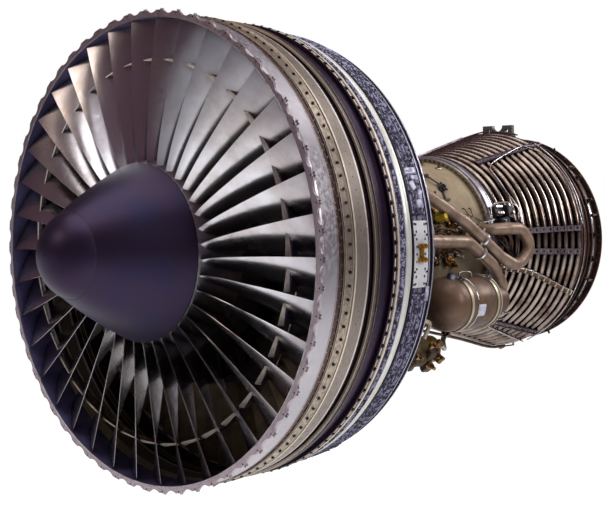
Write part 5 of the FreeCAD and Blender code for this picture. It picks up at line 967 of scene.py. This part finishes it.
shape = bmesh.new()
near, far = (shape.verts.new(on_tank(station, 0.1533, 0)) for station in (1.884, 1.950))
edge = shape.edges.new((near, far))
bmesh.ops.spin(shape, geom=[edge], cent=tank_line, axis=(1, 0, 0), angle=math.radians(27), steps=9)
bmesh.ops.solidify(shape, geom=shape.faces[:], thickness=0.0008)
piece("tank_data_patch", shape,
      metal_finish("patch_white", "cdcbd6", "b4b0c0", "6a6674", metallic=0.1, rough=0.4, scale=30.0))
wire_hoops("tank_seams", (1.8675,), 0.1605, 0.0028, wire_silver, 72, tank_line)
wire_hoops("tank_end_bead", (2.1010,), 0.1600, 0.0046, cream_paint, 72, tank_line)
shape = bmesh.new()
for station, radius in ((1.808, 0.166), (2.079, 0.159)):
    for angle in (58, 66):
        foot = on_tank(station, radius - 0.002, angle)
        add_bar(shape, foot, on_tank(station, radius + 0.016, angle), 0.0085, 8)
    add_bar(shape, on_tank(station, radius + 0.010, 54), on_tank(station, radius + 0.010, 70), 0.0042, 6)
add_bar(shape, on_tank(1.760, 0.150, 76), on_tank(1.760, 0.184, 76), 0.030, 16)
add_bar(shape, on_tank(1.760, 0.184, 76), on_tank(1.760, 0.190, 76), 0.022, 16)
piece("tank_fittings", shape, clamp_steel)
pipe_run("tank_handle", [(1.860, 0.158, 84), (1.862, 0.180, 84), (1.880, 0.190, 82),
                         (1.940, 0.190, 78), (1.958, 0.180, 76), (1.960, 0.150, 76)],
         0.0042, wire_silver, tank_line)
shape = bmesh.new()
for place in range(14):
    angle = 360 / 14 * place
    add_bar(shape, on_tank(2.106, 0.098, angle), on_tank(2.116, 0.098, angle), 0.0052, 6)
piece("tank_filter_bolts", shape, core_bolt)


# The ignition boxes are sealed steel cases in brown paint, screwed to feet low on the engine's right
# side.

dress(metal_finish("box_brown", "5a4636", "3c2e24", "140e0a", metallic=0.4, rough=0.45), "ignition_boxes")


# Two bleed pipes of tan-painted steel tube run back from the frame. V-band clamps close two joints
# in each of them.

dress(metal_finish("pipe_tan", "8c7464", "6e5848", "241a14", metallic=0.4, rough=0.4, scale=8.0),
      "upper_bleed_pipe", "lower_bleed_pipe")
shape = bmesh.new()
for start, end in (((1.2700, 0.587, 42.9), (1.2860, 0.587, 42.9)),
                   ((1.3400, 0.600, 2.9), (1.3560, 0.600, 2.9)), ((2.1190, 0.610, 3.4), (2.1300, 0.611, 2.8)),
                   ((2.0900, 0.609, -4.2), (2.1010, 0.610, -4.9))):
    add_bar(shape, on_case(*start), on_case(*end), 0.0445, 24)
    middle = (on_case(*start) + on_case(*end)) / 2
    add_bar(shape, middle + Vector((-0.006, -0.006, 0.040)), middle + Vector((0.006, -0.006, 0.064)), 0.007,
            6)
piece("pipe_clamps", shape, clip_steel)


# Between the two pipes is a tangle of valves and small lines on the shell's slope: yellow
# shipping caps, silver tube elbows and brown bodies. More stand below the lower pipe.

shape = bmesh.new()
for station, radius, angle, height in ((1.826, 0.520, 20.4, 0.060), (1.842, 0.520, 16.8, 0.048),
                                       (1.812, 0.520, 17.6, 0.070)):
    add_peg(shape, station, angle, radius, radius + height, 0.0185, 16, 0.9)
piece("shipping_caps", shape,
      metal_finish("cap_yellow", "d8b820", "b08a18", "4a3808", metallic=0.0, rough=0.4))
silver_bits, brown_bits = bmesh.new(), bmesh.new()
for low_angle, high_angle, low_station, high_station, count in (
        (8.5, 21.0, 1.790, 2.090, 26), (-15.0, -4.0, 1.780, 1.985, 20), (24.0, 44.0, 1.745, 1.850, 12)):
    for index in range(count):
        station = random.uniform(low_station, high_station)
        angle = random.uniform(low_angle, high_angle)
        foot = min(0.505, 0.410 + (station - 1.741) * 0.85)
        shape = (silver_bits, brown_bits)[index % 2]
        add_block(shape, station, foot - 0.002, angle, (0.034, 0.026, random.uniform(0.018, 0.046)), 0.004,
                  random.uniform(-60, 60))
        top = on_case(station, foot + 0.030, angle)
        add_bar(shape, top, top + Vector((random.uniform(-0.04, 0.04), random.uniform(-0.03, 0.0),
                                          random.uniform(-0.03, 0.03))), 0.0085, 8, 0.8)
piece("valve_bodies_silver", silver_bits,
      metal_finish("valve_silver", "a89a90", "6a5446", "241812", rough=0.3, scale=25.0, reach=0.015))
piece("valve_bodies_brown", brown_bits,
      metal_finish("valve_gold", "8a6430", "4c3420", "180e06", rough=0.35, scale=25.0, reach=0.015))
for index in range(9):
    angle = random.uniform(7, 22) if index < 6 else random.uniform(-16, -3)
    station = random.uniform(1.800, 1.960)
    route = [(station, 0.500, angle), (station + 0.01, 0.548, angle + 1),
             (station + random.uniform(0.05, 0.14), 0.552, angle + random.uniform(-5, 3)),
             (station + random.uniform(0.14, 0.20), 0.505, angle + random.uniform(-6, 2))]
    pipe_run(f"valve_line_{index}", route, 0.0055, (wire_silver, pipe_brown, sleeve_copper)[index % 3])


# The studio is a pale floor well below the hanging engine, in an even pale room. For reflections the
# floor glows with a painted pool of light below the engine, which falls off behind it and ahead of it.

floor_drop, floor_reach = 2.6, 60.0
rear_edge, rear_dark, front_edge, front_dark, right_edge, right_dark = 1.6, 4.2, -2.6, -4.1, 4.5, 3.0
floor_mesh = bpy.data.meshes.new("floor")
floor_shape = bmesh.new()
bmesh.ops.create_grid(floor_shape, x_segments=1, y_segments=1, size=floor_reach)
bmesh.ops.translate(floor_shape, vec=(0, 0, -floor_drop), verts=floor_shape.verts)
floor_shape.to_mesh(floor_mesh)
floor_shape.free()
floor = bpy.data.objects.new("floor", floor_mesh)
bpy.context.scene.collection.objects.link(floor)
floor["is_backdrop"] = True
floor_paint = bpy.data.materials.new("floor_white")
floor_paint.use_nodes = True
tree = floor_paint.node_tree
matt = tree.nodes["Principled BSDF"]
matt.inputs["Base Color"].default_value = (0.9, 0.9, 0.9, 1)
matt.inputs["Roughness"].default_value = 0.9
matt.inputs["Emission Color"].default_value = (1, 1, 1, 1)
seen = add(tree, "LightPath")
spot = add(tree, "SeparateXYZ", Vector=here(tree)).outputs
behind = ramp(tree, spot[0], rear_edge, rear_dark)
ahead = ramp(tree, spot[0], front_edge, front_dark)
across = ramp(tree, spot[1], right_edge, right_dark)
# Painted light: reflections see a glowing pool, dimmed behind the engine and ahead of it to the right.
dim = sums(tree, "MAXIMUM", behind, sums(tree, "MULTIPLY", ahead, across))
pool = sums(tree, "SUBTRACT", 0.5, sums(tree, "MULTIPLY", dim, 0.44))
glow = sums(tree, "ADD", sums(tree, "MULTIPLY", seen.outputs["Is Camera Ray"], 0.8),
            sums(tree, "MULTIPLY", seen.outputs["Is Glossy Ray"], pool))
tree.links.new(glow, matt.inputs["Emission Strength"])
floor_mesh.materials.append(floor_paint)


# The room is white to the camera, and dim to what it lights and to what reflects it. Five soft
# boxes on stands light the engine.

world = bpy.data.worlds.new("room")
bpy.context.scene.world = world
world.use_nodes = True
tree = world.node_tree
background = tree.nodes["Background"]
seen = add(tree, "LightPath")
unlit = blend(tree, seen.outputs["Is Glossy Ray"], (0.26, 0.26, 0.28, 1), (0.085, 0.045, 0.060, 1))
colour = blend(tree, seen.outputs["Is Camera Ray"], unlit, (1, 1, 1, 1))
tree.links.new(colour, background.inputs["Color"])


def soft_box(name, place, aim, width, height, power, tint=(1, 1, 1)):
    """A studio soft box, facing the point that it lights."""
    lamp = bpy.data.lights.new(name, "AREA")
    lamp.shape = "RECTANGLE"
    lamp.size, lamp.size_y = width, height
    lamp.energy = power
    lamp.color = tint
    holder = bpy.data.objects.new(name, lamp)
    bpy.context.scene.collection.objects.link(holder)
    holder.location = place
    holder.rotation_mode = "QUATERNION"
    holder.rotation_quaternion = (Vector(aim) - Vector(place)).to_track_quat("-Z", "Y")


soft_box("overhead_light", (0.1, -0.6, 6.0), (0.4, -0.3, 0), 8.0, 6.0, 320)
soft_box("key_light", (2.0, -7.5, 3.4), (1.8, 0, 0.2), 3.0, 2.0, 230)
soft_box("warm_light", (-5.6, 2.6, 4.2), (0, 0.7, 0.3), 3.0, 2.2, 70, (1, 0.86, 0.70))
soft_box("rear_light", (6.3, -2.7, 2.5), (2.7, -0.6, 0.2), 1.7, 1.5, 105)
soft_box("side_light", (4.5, -2.4, 4.7), (0.8, -1.0, 0.6), 2.4, 1.8, 28)


# The camera stands where the photograph's stood, ahead of the engine's left side, on a 36 mm wide
# sensor.

camera_data = bpy.data.cameras.new("camera")
camera_data.sensor_width = 36.0
camera_data.lens = 72.58
camera = bpy.data.objects.new("camera", camera_data)
bpy.context.scene.collection.objects.link(camera)
camera.matrix_world = Matrix((
    (0.68536, 0.03006, -0.72758, -3.99184),
    (-0.72820, 0.02583, -0.68488, -4.87052),
    (-0.00180, 0.99921, 0.03959, 0.24668),
    (0, 0, 0, 1)))
bpy.context.scene.camera = camera
bpy.context.scene.view_settings.view_transform = "Standard"

sizes = {"cad_box": [list(corner) for corner in cad_box], "visual_box": [list(corner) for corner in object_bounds()]}
